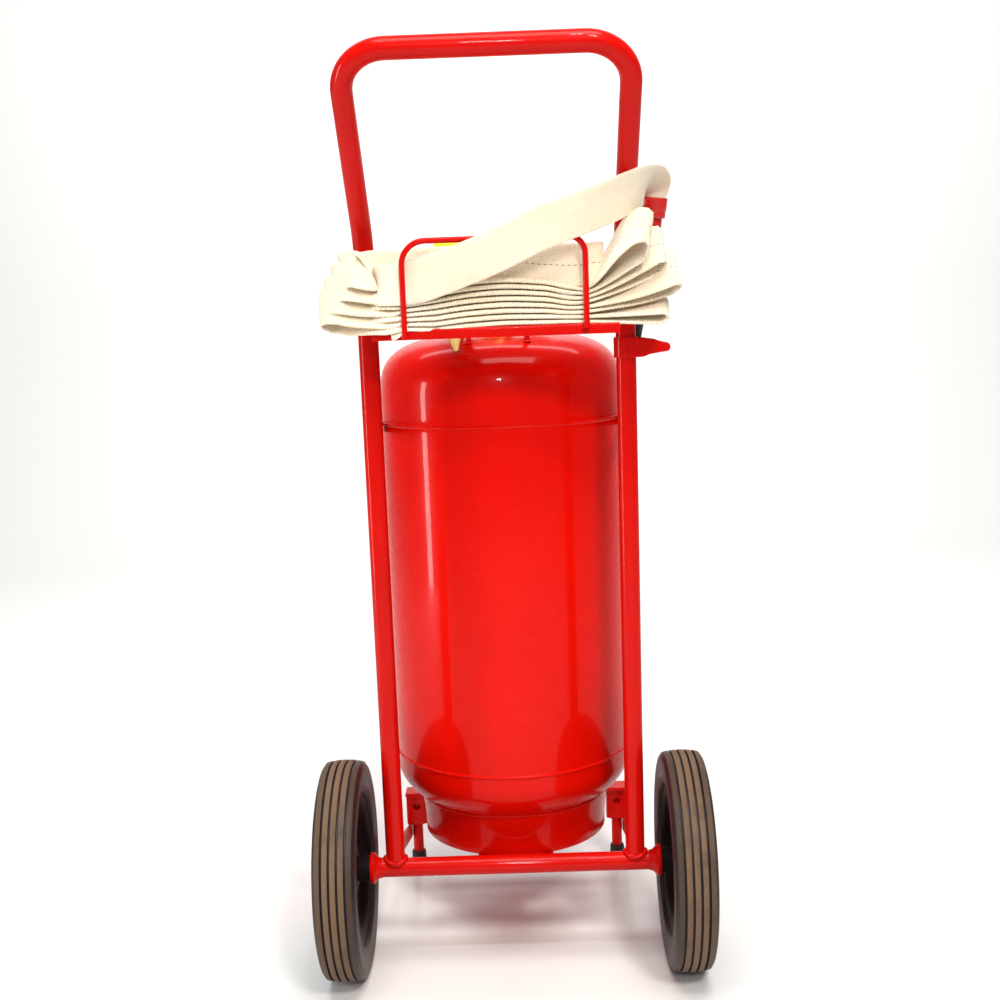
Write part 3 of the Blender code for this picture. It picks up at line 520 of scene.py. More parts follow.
# ---------------------------------------------------------------- hose
def ribbon(name, points, first=0, last=None, steps=14):
    """A flat hose swept along points of (centre, width direction, half width, half thickness, droop, cup).

    The section is flat with round edges; droop lowers its near edge and cup hollows it along its normal.
    The mesh covers the points from first to last, and its length is returned with it.
    """
    bm = bmesh.new()
    weave = bm.verts.layers.float_vector.new("weave")
    run = 0.0
    rings = []
    count = len(points)
    last = count - 1 if last is None else last
    for i, (centre, width, half_w, half_t, droop, cup) in enumerate(points):
        if i:
            run += (centre - points[i - 1][0]).length
        if i == first:
            start = run
        if not first <= i <= last:
            continue
        end = run
        tangent = (points[min(i + 1, count - 1)][0] - points[max(i - 1, 0)][0]).normalized()
        width = (width - tangent * width.dot(tangent)).normalized()
        normal = width.cross(tangent)
        ring = []
        for k in range(2 * steps):
            turn = pi * k / steps
            c, side = cos(turn), sin(turn)
            across = abs(c) ** 0.75 * (1 if c > 0 else -1)
            lift = half_t * abs(side) ** 0.42 * (1 if side > 0 else -1) + cup * (1 - across * across)
            sink = droop * max(0.0, -across - 0.3) ** 1.6
            vert = bm.verts.new(centre + width * (across * half_w) + normal * lift - Vector((0, 0, sink)))
            vert[weave] = (run, across * HOSE_W / 2, 1.0 if side > 0.2 else 0.0)
            ring.append(vert)
        rings.append(ring)
    for ring, after in zip(rings, rings[1:]):
        for k in range(len(ring)):
            j = (k + 1) % len(ring)
            bm.faces.new((ring[k], ring[j], after[j], after[k]))
    bm.faces.new(rings[0])
    bm.faces.new(rings[-1])
    return finished(name, bm, CANVAS, 70), end - start


def through(keys, spacing):
    """A smooth run through keys of a centre, a width direction and four sizes."""
    def blend(values, t):
        a, b, c, d = values
        return (b * 2 + (c - a) * t + (a * 2 - b * 5 + c * 4 - d) * t * t
                + (b * 3 - a - c * 3 + d) * t ** 3) / 2

    first = tuple(a * 2 - b for a, b in zip(keys[0], keys[1]))
    last = tuple(a * 2 - b for a, b in zip(keys[-1], keys[-2]))
    keys = [first] + keys + [last]
    fine = []
    for span in zip(keys, keys[1:], keys[2:], keys[3:]):
        for i in range(40):
            t = i / 40
            sizes = [span[1][n] * (1 - t) + span[2][n] * t for n in (2, 3, 4, 5)]
            width = blend([key[1] for key in span], t).normalized()
            fine.append((blend([key[0] for key in span], t), width, *sizes))
    fine.append(keys[-2])
    kept = [fine[0]]
    for point in fine:
        if (point[0] - kept[-1][0]).length >= spacing:
            kept.append(point)
    kept[-1] = fine[-1]
    return kept


def key(place, width, half_t=HOSE_T / 2, droop=0.0, cup=0.0, half_w=HOSE_W / 2):
    """One key of a run; its place is (x, y from the axle, z)."""
    x, y, z = place
    return (Vector((x, AXLE_Y + y, z)), Vector(width).normalized(), half_w, half_t, droop, cup)


def lifted(degrees_up, outward=0.0):
    """A width direction from the near edge to the far edge, raised by an angle."""
    return (outward, cos(radians(degrees_up)), sin(radians(degrees_up)))


PACK_DY = -0.0375
LYING_Z = 0.7388


def lying_layer(k):
    """The keys of one lying layer from left to right; layers are closer packed under the bail's legs."""
    level = k + 0.5
    share = level / 8
    droop = max(0.0, 0.0125 - 0.002 * k)
    hang = max(0.0, 0.0175 - 0.003 * k)
    slip = noise.noise(Vector((k * 1.7, 0.3, 0.9))) * 0.0014
    return [
        key((-0.112, PACK_DY - 0.0085 + 0.0058 * share, LYING_Z + level * 0.0049 + 0.003 * share),
            lifted(10 + 14 * share), 0.0023, hang),
        key((-0.093, PACK_DY - 0.0032 + 0.0024 * share, LYING_Z + level * 0.0047),
            lifted(5 + 3 * share), 0.0022, hang * 0.15),
        key((-0.062, PACK_DY - 0.0008, LYING_Z + level * 0.0053), lifted(4), 0.0025, droop * 0.6),
        key((-0.028, PACK_DY + slip, LYING_Z + level * 0.006), lifted(3), 0.0028, droop * 0.2),
        key((0.01, PACK_DY - slip, LYING_Z + level * 0.0062), lifted(2), 0.0029),
        key((0.05, PACK_DY + slip, LYING_Z + level * 0.0058), lifted(3), 0.0027),
        key((0.093, PACK_DY, LYING_Z + level * 0.005), lifted(4), 0.0023),
    ]


def fold(root_low, root_high, tip, width, gap, hump=0.0):
    """An end loop: out above the lower layer, round the tip and back over the upper layer."""
    tip_at = key(tip, width)[0]
    axis = (tip_at - (root_low + root_high) / 2).normalized()
    across = axis.cross(Vector(width)).normalized()
    across = -across if across.z < 0 else across

    def at(back, up):
        place = tip_at - axis * (gap * back) + across * (gap * up)
        return (place, Vector(width).normalized(), HOSE_W / 2, 0.002, 0.0, 0.0)

    return [
        at(2.6, -0.85), at(1.2, -0.9), at(0.28, -0.52), at(0.0, 0.0), at(0.28, 0.52), at(1.2, 0.9 + hump),
        at(2.6, 0.85 + 1.5 * hump),
    ]


RIGHT_TIPS = (
    ((0.179, -0.039, 0.75), lifted(24, 0.08), 0.0062),
    ((0.188, -0.0435, 0.7905), lifted(59, -0.14), 0.0088),
    ((0.1735, -0.047, 0.814), lifted(58, -0.03), 0.0092),
    ((0.156, -0.0715, 0.8325), lifted(55, 0.19), 0.0118),
)
LEFT_TIPS = (
    ((-0.181, -0.0435, 0.7625), lifted(60, -0.07), 0.0085),
    ((-0.175, -0.0435, 0.7735), lifted(62, -0.1), 0.0085),
    ((-0.1645, -0.0435, 0.7868), lifted(62, -0.22), 0.0085),
    ((-0.156, -0.0435, 0.7985), lifted(58, -0.25), 0.009),
)
SPLIT = key((-0.07, -0.064, 0.788), (-0.26, 0.02, 1))


def hose_keys():
    """Eight lying layers with their end loops, the upright run behind, the left wrap, and the strip."""
    keys = []
    for k in range(8):
        layer, above = lying_layer(k), lying_layer(k + 1)
        if k % 2 == 0:
            keys += layer + fold(layer[-1][0], above[-1][0], *RIGHT_TIPS[k // 2])
        else:
            keys += layer[::-1] + fold(layer[0][0], above[0][0], *LEFT_TIPS[k // 2], 0.25)
    keys += [
        key((-0.126, -0.04, 0.8), (-0.16, 0.42, 1)), key((-0.1, -0.034, 0.799), (0, 0.3, 1)),
    ]
    upright = (
        (-0.07, -0.03, 0.8), (0.0, -0.03, 0.801), (0.08, -0.03, 0.799),
        (0.101, -0.031, 0.799), (0.1105, -0.0355, 0.799), (0.111, -0.0425, 0.799),
        (0.103, -0.048, 0.799), (0.085, -0.05, 0.797), (0.05, -0.049, 0.799),
        (0.01, -0.048, 0.803), (-0.04, -0.048, 0.7985),
    )
    keys += [key(place, (0, 0.12, 1)) for place in upright]
    return keys + [
        key((-0.08, -0.044, 0.79), (0, 0.2, 1)),
        key((-0.104, -0.042, 0.786), (0, 0.4, 1)), key((-0.115, -0.0445, 0.7845), (0, 0.5, 1)),
        key((-0.1185, -0.05, 0.7835), (0, 0.5, 1)), key((-0.115, -0.056, 0.783), (0, 0.42, 1)),
        key((-0.102, -0.059, 0.7835), (-0.06, 0.2, 1)), key((-0.088, -0.0602, 0.7845), (-0.16, 0.06, 1)),
        SPLIT,
        key((-0.04, -0.0695, 0.798), (-0.34, -0.03, 1)), key((0.0, -0.0745, 0.8125), (-0.38, -0.05, 1)),
        key((0.05, -0.076, 0.8345), (-0.38, -0.08, 1)), key((0.09, -0.0745, 0.848), (-0.34, -0.18, 1)),
        key((0.12, -0.07, 0.8585), (-0.26, -0.3, 1)),
        key((0.14, -0.0625, 0.867), (-0.16, -0.38, 1), cup=0.001),
        key((0.156, -0.049, 0.874), (0.06, -0.42, 0.9), cup=0.003),
        key((0.1655, -0.033, 0.8765), (0.42, -0.36, 0.78), cup=0.005, half_w=0.021),
        key((0.1695, -0.018, 0.8755), (0.75, -0.22, 0.5), HOSE_T * 0.7, cup=0.006, half_w=0.019),
        key((0.1705, -0.005, 0.8735), (0.95, -0.08, 0.15), HOSE_T * 1.3, cup=0.004, half_w=0.0158),
        key((0.1706, 0.0025, 0.87), (1, 0, 0), HOSE_T * 2.4, cup=0.001, half_w=0.0128),
        key((0.1705, 0.004, 0.8663), (1, 0, 0), HOSE_T * 3.5, half_w=0.0112),
    ]


def feed_run():
    """The short run from the valve's coupling, round at first and flat where it goes into the pack."""
    start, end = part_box("hose_feed")[1][1] - AXLE_Y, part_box("hose_feed")[0][1] - AXLE_Y
    across = (1, 0, 0)
    keys = [
        key((ELBOW_X, start, OUTLET_Z), across, 0.0105, half_w=0.012),
        key((ELBOW_X, start - 0.004, OUTLET_Z), across, 0.0095, half_w=0.014),
        key((ELBOW_X, (start + end) / 2 - 0.002, OUTLET_Z), across, 0.005, half_w=0.019),
        key((ELBOW_X, end, OUTLET_Z), across, 0.0024),
        key((ELBOW_X, end - 0.005, OUTLET_Z), across),
    ]
    return through(keys, 0.003)


def hose():
    """The flaked pack on the shelf, the strip to the nozzle and the feed from the valve."""
    run = through(hose_keys(), 0.0033)
    split = min(range(len(run)), key=lambda i: (run[i][0] - SPLIT[0]).length)
    pack, pack_length = ribbon("hose_pack_ribbon", run, 0, split)
    strip, strip_length = ribbon("hose_strip_ribbon", run, split)
    feed, _ = ribbon("hose_feed_ribbon", feed_run())
    for piece, node in ((pack, "hose_pack"), (strip, "hose_strip"), (feed, "hose_feed")):
        hook(piece, node)


# ---------------------------------------------------------------- tank
def dome_height(radius, height=DOME_H, power=DOME_POWER):
    """Height of a domed end over its base; a power above 2 gives it fuller shoulders than an ellipse."""
    return height * max(0.0, 1 - (radius / TANK_R) ** power) ** (1 / power)


def tank():
    """One pressed and welded shell, its two weld lines, the foot ring and the neck."""
    steps = 32
    outline = [(0.0, DOME_LOW_BASE_Z - DOME_LOW_H)]
    for i in range(1, steps + 1):
        turn = i / steps * pi / 2
        outline.append((TANK_R * sin(turn), DOME_LOW_BASE_Z - DOME_LOW_H * cos(turn)))
    rows = 14
    heights = [WELD_LOW_Z + dz for dz in (-0.004, 0, 0.004)]
    heights += [WELD_LOW_Z + (WELD_TOP_Z - WELD_LOW_Z) * i / rows for i in range(1, rows)]
    heights += [WELD_TOP_Z + dz for dz in (-0.004, 0, 0.004)]
    outline += [(TANK_R, z) for z in heights]
    for i in range(steps):
        turn = i / steps * pi / 2
        across, up = cos(turn) ** (2 / DOME_POWER), sin(turn) ** (2 / DOME_POWER)
        outline.append((TANK_R * across, DOME_BASE_Z + DOME_H * up))
    outline.append((0.0, DOME_BASE_Z + DOME_H))
    shell = turned("tank_shell", outline, TANK_RED, 128, (0, TANK_Y, 0), smooth=60)
    hook(shell, "tank_barrel", "tank_top_dome", "tank_bottom_dome")
    for name, z in (("top", WELD_TOP_Z), ("low", WELD_LOW_Z)):
        path = circle((0, TANK_Y, z), TANK_R - 0.0009, UP, 400)
        weld_bead(f"tank_weld_{name}", path, 0.0023, TANK_RED)
    wall = 0.0025
    ring_top_z = DOME_LOW_BASE_Z - dome_height(RING_R + 0.004, DOME_LOW_H, 2) - 0.0015
    ring = [
        (RING_R - wall + 0.0006, RING_LOW_Z), (RING_R - 0.0006, RING_LOW_Z), (RING_R, RING_LOW_Z + 0.0006),
        (RING_R, RING_LOW_Z + 0.012), (RING_R + 0.0012, RING_LOW_Z + 0.03), (RING_R + 0.004, ring_top_z),
        (RING_R + 0.004 - wall, ring_top_z), (RING_R + 0.0012 - wall, RING_LOW_Z + 0.03),
        (RING_R - wall, RING_LOW_Z + 0.012), (RING_R - wall, RING_LOW_Z + 0.0006),
    ]
    skirt = turned("foot_ring_skin", ring, TANK_RED, 128, (0, TANK_Y, 0), smooth=50)
    hook(skirt, "tank_foot_ring")
    path = circle((0, TANK_Y, ring_top_z + 0.001), RING_R + 0.0035, UP, 320)
    weld_bead("foot_ring_weld", path, 0.0024, TANK_RED)
    boss_low, boss_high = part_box("neck_boss")[0][2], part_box("neck_boss")[1][2]
    boss = [
        (0, boss_low), (0.025, boss_low), (0.025, boss_high - 0.002), (0.0245, boss_high - 0.0006),
        (0.0235, boss_high), (0, boss_high),
    ]
    neck = turned("neck_boss_skin", boss, TANK_RED, 64, (0, TANK_Y, 0))
    hook(neck, "neck_boss")
    boss_foot = DOME_BASE_Z + dome_height(0.025)
    path = circle((0, TANK_Y, boss_foot + 0.001), 0.0262, UP, 120)
    weld_bead("neck_weld", path, 0.0024, TANK_RED)
    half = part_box("lifting_lug_near")[1][0] - 0.003
    for end in ("near", "far"):
        low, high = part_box(f"lifting_lug_{end}")
        y, top_z = middle(f"lifting_lug_{end}").y, high[2] - 0.003
        path = rounded_path(staple(half, y, low[2] - 0.001, top_z), (0.01, 0.01))
        lug = swept(f"lifting_lug_{end}_rod", path, 0.003, TANK_RED, sides=20)
        hook(lug, f"lifting_lug_{end}")
        for side, sign in SIDES:
            path = circle((sign * half, y, low[2] - 0.0008), 0.0034, UP, 28)
            weld_bead(f"lug_weld_{end}_{side}", path, 0.0013, TANK_RED)


# ---------------------------------------------------------------- trolley
def trolley():
    """The bent tube, the axle tube with its flared ends, shelf, bail, lugs and welds."""
    foot_z = AXLE_Z + TUBE_R + 0.0003
    grip_y = AXLE_Y - GRIP_RUN * sin(LEAN)
    grip_z = BEND_Z + GRIP_RUN * cos(LEAN)
    corners = [
        Vector((-LEG_X, AXLE_Y, foot_z)), Vector((-LEG_X, AXLE_Y, BEND_Z)), Vector((-LEG_X, grip_y, grip_z)),
        Vector((LEG_X, grip_y, grip_z)), Vector((LEG_X, AXLE_Y, BEND_Z)), Vector((LEG_X, AXLE_Y, foot_z)),
    ]
    path = rounded_path(corners, (0.06, 0.045, 0.045, 0.06), 16, 0.02)
    tube = swept("frame_tube_skin", path, TUBE_R, RED, bore=TUBE_R - TUBE_WALL, sides=40)
    hook(tube, "frame_tube")
    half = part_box("axle_tube")[1][0]
    path = [Vector((half * share, AXLE_Y, AXLE_Z)) for share in (-1, -0.5, 0, 0.5, 1)]
    cross = swept("axle_tube_skin", path, TUBE_R, RED, bore=TUBE_R - TUBE_WALL, sides=40)
    hook(cross, "axle_tube")
    for side, sign in SIDES:
        turn = facing((sign, 0, 0))
        flare = [
            (TUBE_R - 0.001, half - 0.009), (TUBE_R + 0.0006, half - 0.0085), (0.0125, half - 0.004),
            (0.016, half - 0.0005), (0.0178, half + 0.0008), (0.018, half + 0.004),
            (0.0174, half + 0.0052), (0.0074, half + 0.0053), (0.0074, half - 0.001),
            (TUBE_R - 0.001, half - 0.001),
        ]
        flange = turned(f"axle_flare_{side}", flare, RED, 56, (0, AXLE_Y, AXLE_Z), turn, 50)
        hook(flange, f"axle_flange_{side}")
        saddle = []
        for x, y in arc((0, 0), 0, 360, 1.0, 90)[:-1]:
            place = (sign * LEG_X + (TUBE_R + 0.0006) * x, AXLE_Y + TUBE_R * 1.02 * y)
            saddle.append(Vector((*place, AXLE_Z + TUBE_R + 0.0008 - 0.0035 * y * y)))
        weld_bead(f"leg_weld_{side}", saddle, 0.003, RED)
    plate = 0.002
    front, back = SHELF_Y
    bend = 0.0025
    bend_z, under_z = SHELF_TOP_Z - bend, SHELF_TOP_Z - plate
    outline = [(front, SHELF_LIP_Z)]
    outline += arc((front + bend, bend_z), 180, 90, bend, 5)
    outline += arc((back - bend, bend_z), 90, 0, bend, 5)
    outline += [(back, SHELF_LIP_Z), (back - plate, SHELF_LIP_Z), (back - plate, bend_z)]
    outline += [(back - plate - 0.0005, under_z), (front + plate + 0.0005, under_z)]
    outline += [(front + plate, bend_z), (front + plate, SHELF_LIP_Z)]
    half_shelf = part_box("hose_shelf")[1][0]
    shelf = softened(extruded("shelf_plate", outline, -half_shelf, half_shelf, "X", RED), 0.0004)
    hook(shelf, "hose_shelf")
    corners = staple(BAIL_HALF, BAIL_Y, SHELF_LIP_Z + 0.001, BAIL_TOP_Z, SHELF_LIP_Z + 0.006)
    bail = swept("bail_rod", rounded_path(corners, (0.024, 0.018), 14, 0.01), 0.003, RED, sides=24)
    hook(bail, "hose_bail")
    for side, sign in SIDES:
        z = SHELF_LIP_Z + (0.004 if sign < 0 else 0.008)
        path = [Vector((sign * BAIL_HALF + dx, front - 0.0004, z + dz)) for dx, dz in
                ((-0.0032, -0.003), (-0.0034, 0.0), (-0.0032, 0.003))]
        weld_bead(f"bail_weld_{side}", path, 0.0012, RED, closed=False)
        lug_low, lug_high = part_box(f"tank_lug_{side}")
        lug = softened(block(f"tank_lug_{side}_plate", lug_low, lug_high, RED), 0.0008)
        hook(lug, f"tank_lug_{side}")
        for end, y in (("leg", lug_low[1] + 0.0005), ("tank", lug_high[1] - 0.0008)):
            x = sign * (abs(lug_low[0] + lug_high[0]) / 2 + 0.0022)
            path = [Vector((x, y, lug_low[2] + (lug_high[2] - lug_low[2]) * i / 24)) for i in range(25)]
            weld_bead(f"lug_seam_{side}_{end}", path, 0.0016, RED, closed=False)


def bracket():
    """The band round the right leg with its hose hook and the cup for the nozzle."""
    low, high = 0.6995, 0.7215
    inner, outer = TUBE_R + 0.0003, 0.0133
    ring = [(outer, low), (outer, high), (inner, high), (inner, low)]
    band = softened(turned("bracket_band", ring, RED, 48, (LEG_X, AXLE_Y, 0), smooth=40), 0.0006)
    hook(band, "nozzle_bracket")
    outline = [(0.004, high), (0.02, 0.72), (0.029, 0.7188), (0.034, 0.7168), (0.04, 0.7152)]
    outline += arc((0.0415, 0.7098), 75, -65, 0.005, 10)
    outline += [(0.034, 0.704), (0.024, 0.7024), (0.018, 0.7), (0.004, low)]
    outline = [(LEG_X + out, z) for out, z in outline]
    finger = extruded("bracket_hook", outline, AXLE_Y - 0.0132, AXLE_Y - 0.0075, "Y", RED)
    hook(softened(finger, 0.0012, 3))
    cup_at = (NOZZLE_LOW.x, NOZZLE_LOW.y, 0)
    cup = [(0.0085, 0.7045), (0.0108, 0.7045), (0.0108, 0.7195), (0.0085, 0.7195)]
    hook(softened(turned("tip_cup", cup, RED, 40, cup_at), 0.0004))
    near, far = (LEG_X + 0.0035, AXLE_Y + 0.0112, 0.7055), (LEG_X + 0.0085, AXLE_Y + 0.0158, 0.7165)
    web = block("cup_web", near, far, RED)
    hook(softened(web, 0.0005))


def drilled_plate(name, low, high, hole_z, mat):
    """A plate across Y with a round bolt hole in the middle of its width."""
    centre_x = (low[0] + high[0]) / 2
    half = (high[0] - low[0]) / 2
    bm = bmesh.new()
    layers = []
    for y in (low[1], high[1]):
        rim = []
        for x, z in arc((0, 0), 0, 360, 0.0045, 24)[:-1]:
            angle = atan2(z, x)
            tall = high[2] - hole_z if sin(angle) > 0 else hole_z - low[2]
            reach = min(half / max(1e-6, abs(cos(angle))), tall / max(1e-6, abs(sin(angle))))
            edge = (centre_x + reach * cos(angle), y, hole_z + reach * sin(angle))
            rim.append((bm.verts.new((centre_x + x, y, hole_z + z)), bm.verts.new(edge)))
        layers.append(rim)
    near, far = layers
    for i in range(len(near)):
        (a, b), (c, d) = near[i - 1], near[i]
        (e, f), (g, h) = far[i - 1], far[i]
        for corners in ((a, b, d, c), (e, g, h, f), (a, c, g, e), (b, f, h, d)):
            bm.faces.new(corners)
    return finished(name, bm, mat)


def front_support():
    """Arms, bent-plate brackets, cross bars, and legs in rubber feet."""
    for side, sign in SIDES:
        low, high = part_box(f"front_arm_{side}")
        front = high[1]
        slope = [
            (low[1], 0.1165), (low[1], 0.1345), (AXLE_Y + 0.03, 0.1345), (front - 0.023, 0.066),
            (front, 0.066), (front, 0.046), (front - 0.012, 0.046),
        ]
        arm = softened(extruded(f"arm_{side}", slope, low[0], high[0], "X", RED), 0.0009)
        hook(arm, f"front_arm_{side}")
        low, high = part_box(f"front_bracket_{side}")
        wall, bend = 0.003, 0.004
        (left, _, foot), (right, _, top) = low, high
        section = [(left, foot)] + arc((left + bend, top - bend), 180, 90, bend, 5)
        section += arc((right - bend, top - bend), 90, 0, bend, 5) + [(right, foot), (right - wall, foot)]
        section += [(right - wall, top - bend), (right - bend, top - wall), (left + bend, top - wall)]
        section += [(left + wall, top - bend), (left + wall, foot)]
        shell = softened(extruded(f"bracket_bend_{side}", section, low[1] + wall, high[1], "Y", RED), 0.0004)
        hook(shell, f"front_bracket_{side}")
        face = drilled_plate(f"bracket_face_{side}", low, (high[0], low[1] + wall, high[2]), 0.0925, RED)
        hook(face)
        low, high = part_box(f"front_leg_{side}")
        radius = (high[0] - low[0]) / 2
        foot, top = low[2], high[2]
        place = (sign * FOOT_X, FOOT_Y, 0)
        rod = [(0, foot), (radius, foot), (radius, top - 0.001), (radius - 0.001, top), (0, top)]
        hook(turned(f"leg_rod_{side}", rod, RED, 32, place), f"front_leg_{side}")
        low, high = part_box(f"front_foot_{side}")
        wide, tall = (high[0] - low[0]) / 2, high[2]
        boot = [(0, 0), (wide - 0.0022, 0), (wide - 0.0006, 0.0006), (wide, 0.0022), (wide, 0.0055),
                (wide - 0.0008, 0.0068), (wide - 0.0012, tall - 0.003), (wide - 0.0018, tall - 0.0008),
                (wide - 0.0026, tall), (radius + 0.0003, tall), (radius + 0.0003, 0.0057), (0, 0.0057)]
        hook(turned(f"boot_{side}", boot, PAD, 40, place), f"front_foot_{side}")
    for name in ("front", "rear"):
        low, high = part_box(f"base_bar_{name}")
        bar = softened(block(f"bar_{name}", low, high, RED), 0.0009)
        hook(bar, f"base_bar_{name}")


# ---------------------------------------------------------------- wheels
def mirrored(outline):
    """The other side's points of an outline of (radius, distance from the middle), in going-on order."""
    return [(radius, -across) for radius, across in reversed(outline)]


def crown(across):
    """The tread's radius at a distance from the middle of the wheel."""
    return 0.125 - 5.6 * across * across


def wheels():
    """Five-ribbed tyres on dished black discs, with hub, bush, washer and split pin."""
    for side, sign in SIDES:
        body = f"wheel_{side}"
        place = (sign * WHEEL_X, AXLE_Y, AXLE_Z)
        turn = facing((sign, 0, 0))
        half = 0.0235
        ribs, pitch, groove, depth = 5, 0.0086, 0.0011, 0.0034
        wall = [(0.088, -half + 0.0045), (0.0895, -half + 0.002), (0.093, -half + 0.0012),
                (0.095, -half + 0.0006), (0.0965, -half + 0.0014), (0.102, -half + 0.001),
                (0.11, -half + 0.0002), (0.116, -half), (0.119, -half + 0.0008)]
        outline = list(wall)
        marks = [0.0] * len(wall)

        for i in range(ribs):
            middle_h = (i - (ribs - 1) / 2) * pitch
            left, right = middle_h - pitch / 2 + groove, middle_h + pitch / 2 - groove
            dusty = (0.25, 0.9, 1.0, 1.0, 0.55)[i]
            top_left, top_right = crown(left), crown(right)
            outline += [(top_left - (depth if i else 0.002), left - 0.0003), (top_left - 0.0004, left),
                        (top_left, left + 0.0006), (crown(middle_h), middle_h), (top_right, right - 0.0006),
                        (top_right - 0.0004, right),
                        (top_right - (depth if i < ribs - 1 else 0.002), right + 0.0003)]
            marks += [0.0, 0.0, dusty, dusty, dusty, 0.0, 0.0]
        outline += mirrored(wall)
        marks += [0.0] * len(wall)
        tyre = turned(f"tyre_{side}_ribbed", outline, TREAD, 144, place, turn, 45, marks)
        hook(tyre, f"tyre_{side}", body=body)
        dish = [
            (0.0148, -0.0125), (0.019, -0.0125), (0.0205, -0.0112), (0.03, -0.01), (0.04, -0.007),
            (0.052, -0.004), (0.064, -0.0036), (0.069, -0.005), (0.073, -0.01), (0.077, -0.015),
            (0.083, -0.0172), (0.0877, -0.0178),
        ]
        disc = turned(f"wheel_disc_{side}_dished", dish + mirrored(dish), BLACK, 96, place, turn, 50)
        hook(disc, f"wheel_disc_{side}", body=body)
        low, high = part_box(f"wheel_hub_{side}")
        hub_out = (high[0] if sign > 0 else -low[0]) - WHEEL_X
        hub_in = (low[0] if sign > 0 else -high[0]) - WHEEL_X
        for kind, outer, inner, mat in (("hub", 0.0145, 0.0108, BLACK), ("bush", 0.0105, 0.0074, NYLON)):
            tube = sleeve(inner, outer, hub_in, hub_out, 0.0005)
            hook(turned(f"{kind}_{side}", tube, mat, 48, place, turn), f"wheel_{kind}_{side}", body=body)
        low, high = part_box(f"wheel_washer_{side}")
        near = min(abs(low[0]), abs(high[0])) - WHEEL_X
        ring = sleeve(0.0075, 0.0125, near, near + 0.002, 0.0004)
        hook(turned(f"washer_{side}", ring, ZINC, 48, place, turn), f"wheel_washer_{side}")
        pin_x = middle(f"split_pin_{side}").x
        for n, lean in enumerate((-0.0007, 0.0007)):
            path = [Vector((pin_x, AXLE_Y + lean, AXLE_Z + z)) for z in (0.0098, 0.004, -0.004, -0.007)]
            for k in range(3):
                path.append(Vector((pin_x, AXLE_Y + lean * (3 + 3 * k), AXLE_Z - 0.0085 - 0.0018 * k)))
            leg = swept(f"split_pin_{side}_{n}", path, 0.0007, ZINC, sides=10)
            hook(leg, *((f"split_pin_{side}",) if n == 0 else ()))
        eye = circle((pin_x, AXLE_Y, AXLE_Z + 0.0105), 0.0019, (1, 0, 0), 20)
        hook(swept(f"split_pin_eye_{side}", eye, 0.0007, ZINC, sides=10, closed=True))
    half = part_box("axle_rod")[1][0]
    rod = sleeve(0, 0.007, -half, half, 0.0008)
    hook(turned("axle_bar", rod, ZINC, 40, (0, AXLE_Y, AXLE_Z), facing((1, 0, 0))), "axle_rod")


# ---------------------------------------------------------------- valve
def hexed(outline_radius, low, high, name, mat, place, turn=None):
    """A six-sided nut with its corners turned off."""
    rim = outline_radius
    outline = [(0, low), (rim * 0.86, low), (rim, low + rim * 0.1), (rim, high - rim * 0.1),
               (rim * 0.86, high), (0, high)]
    return softened(turned(name, outline, mat, 6, place, turn, 20), 0.0005)


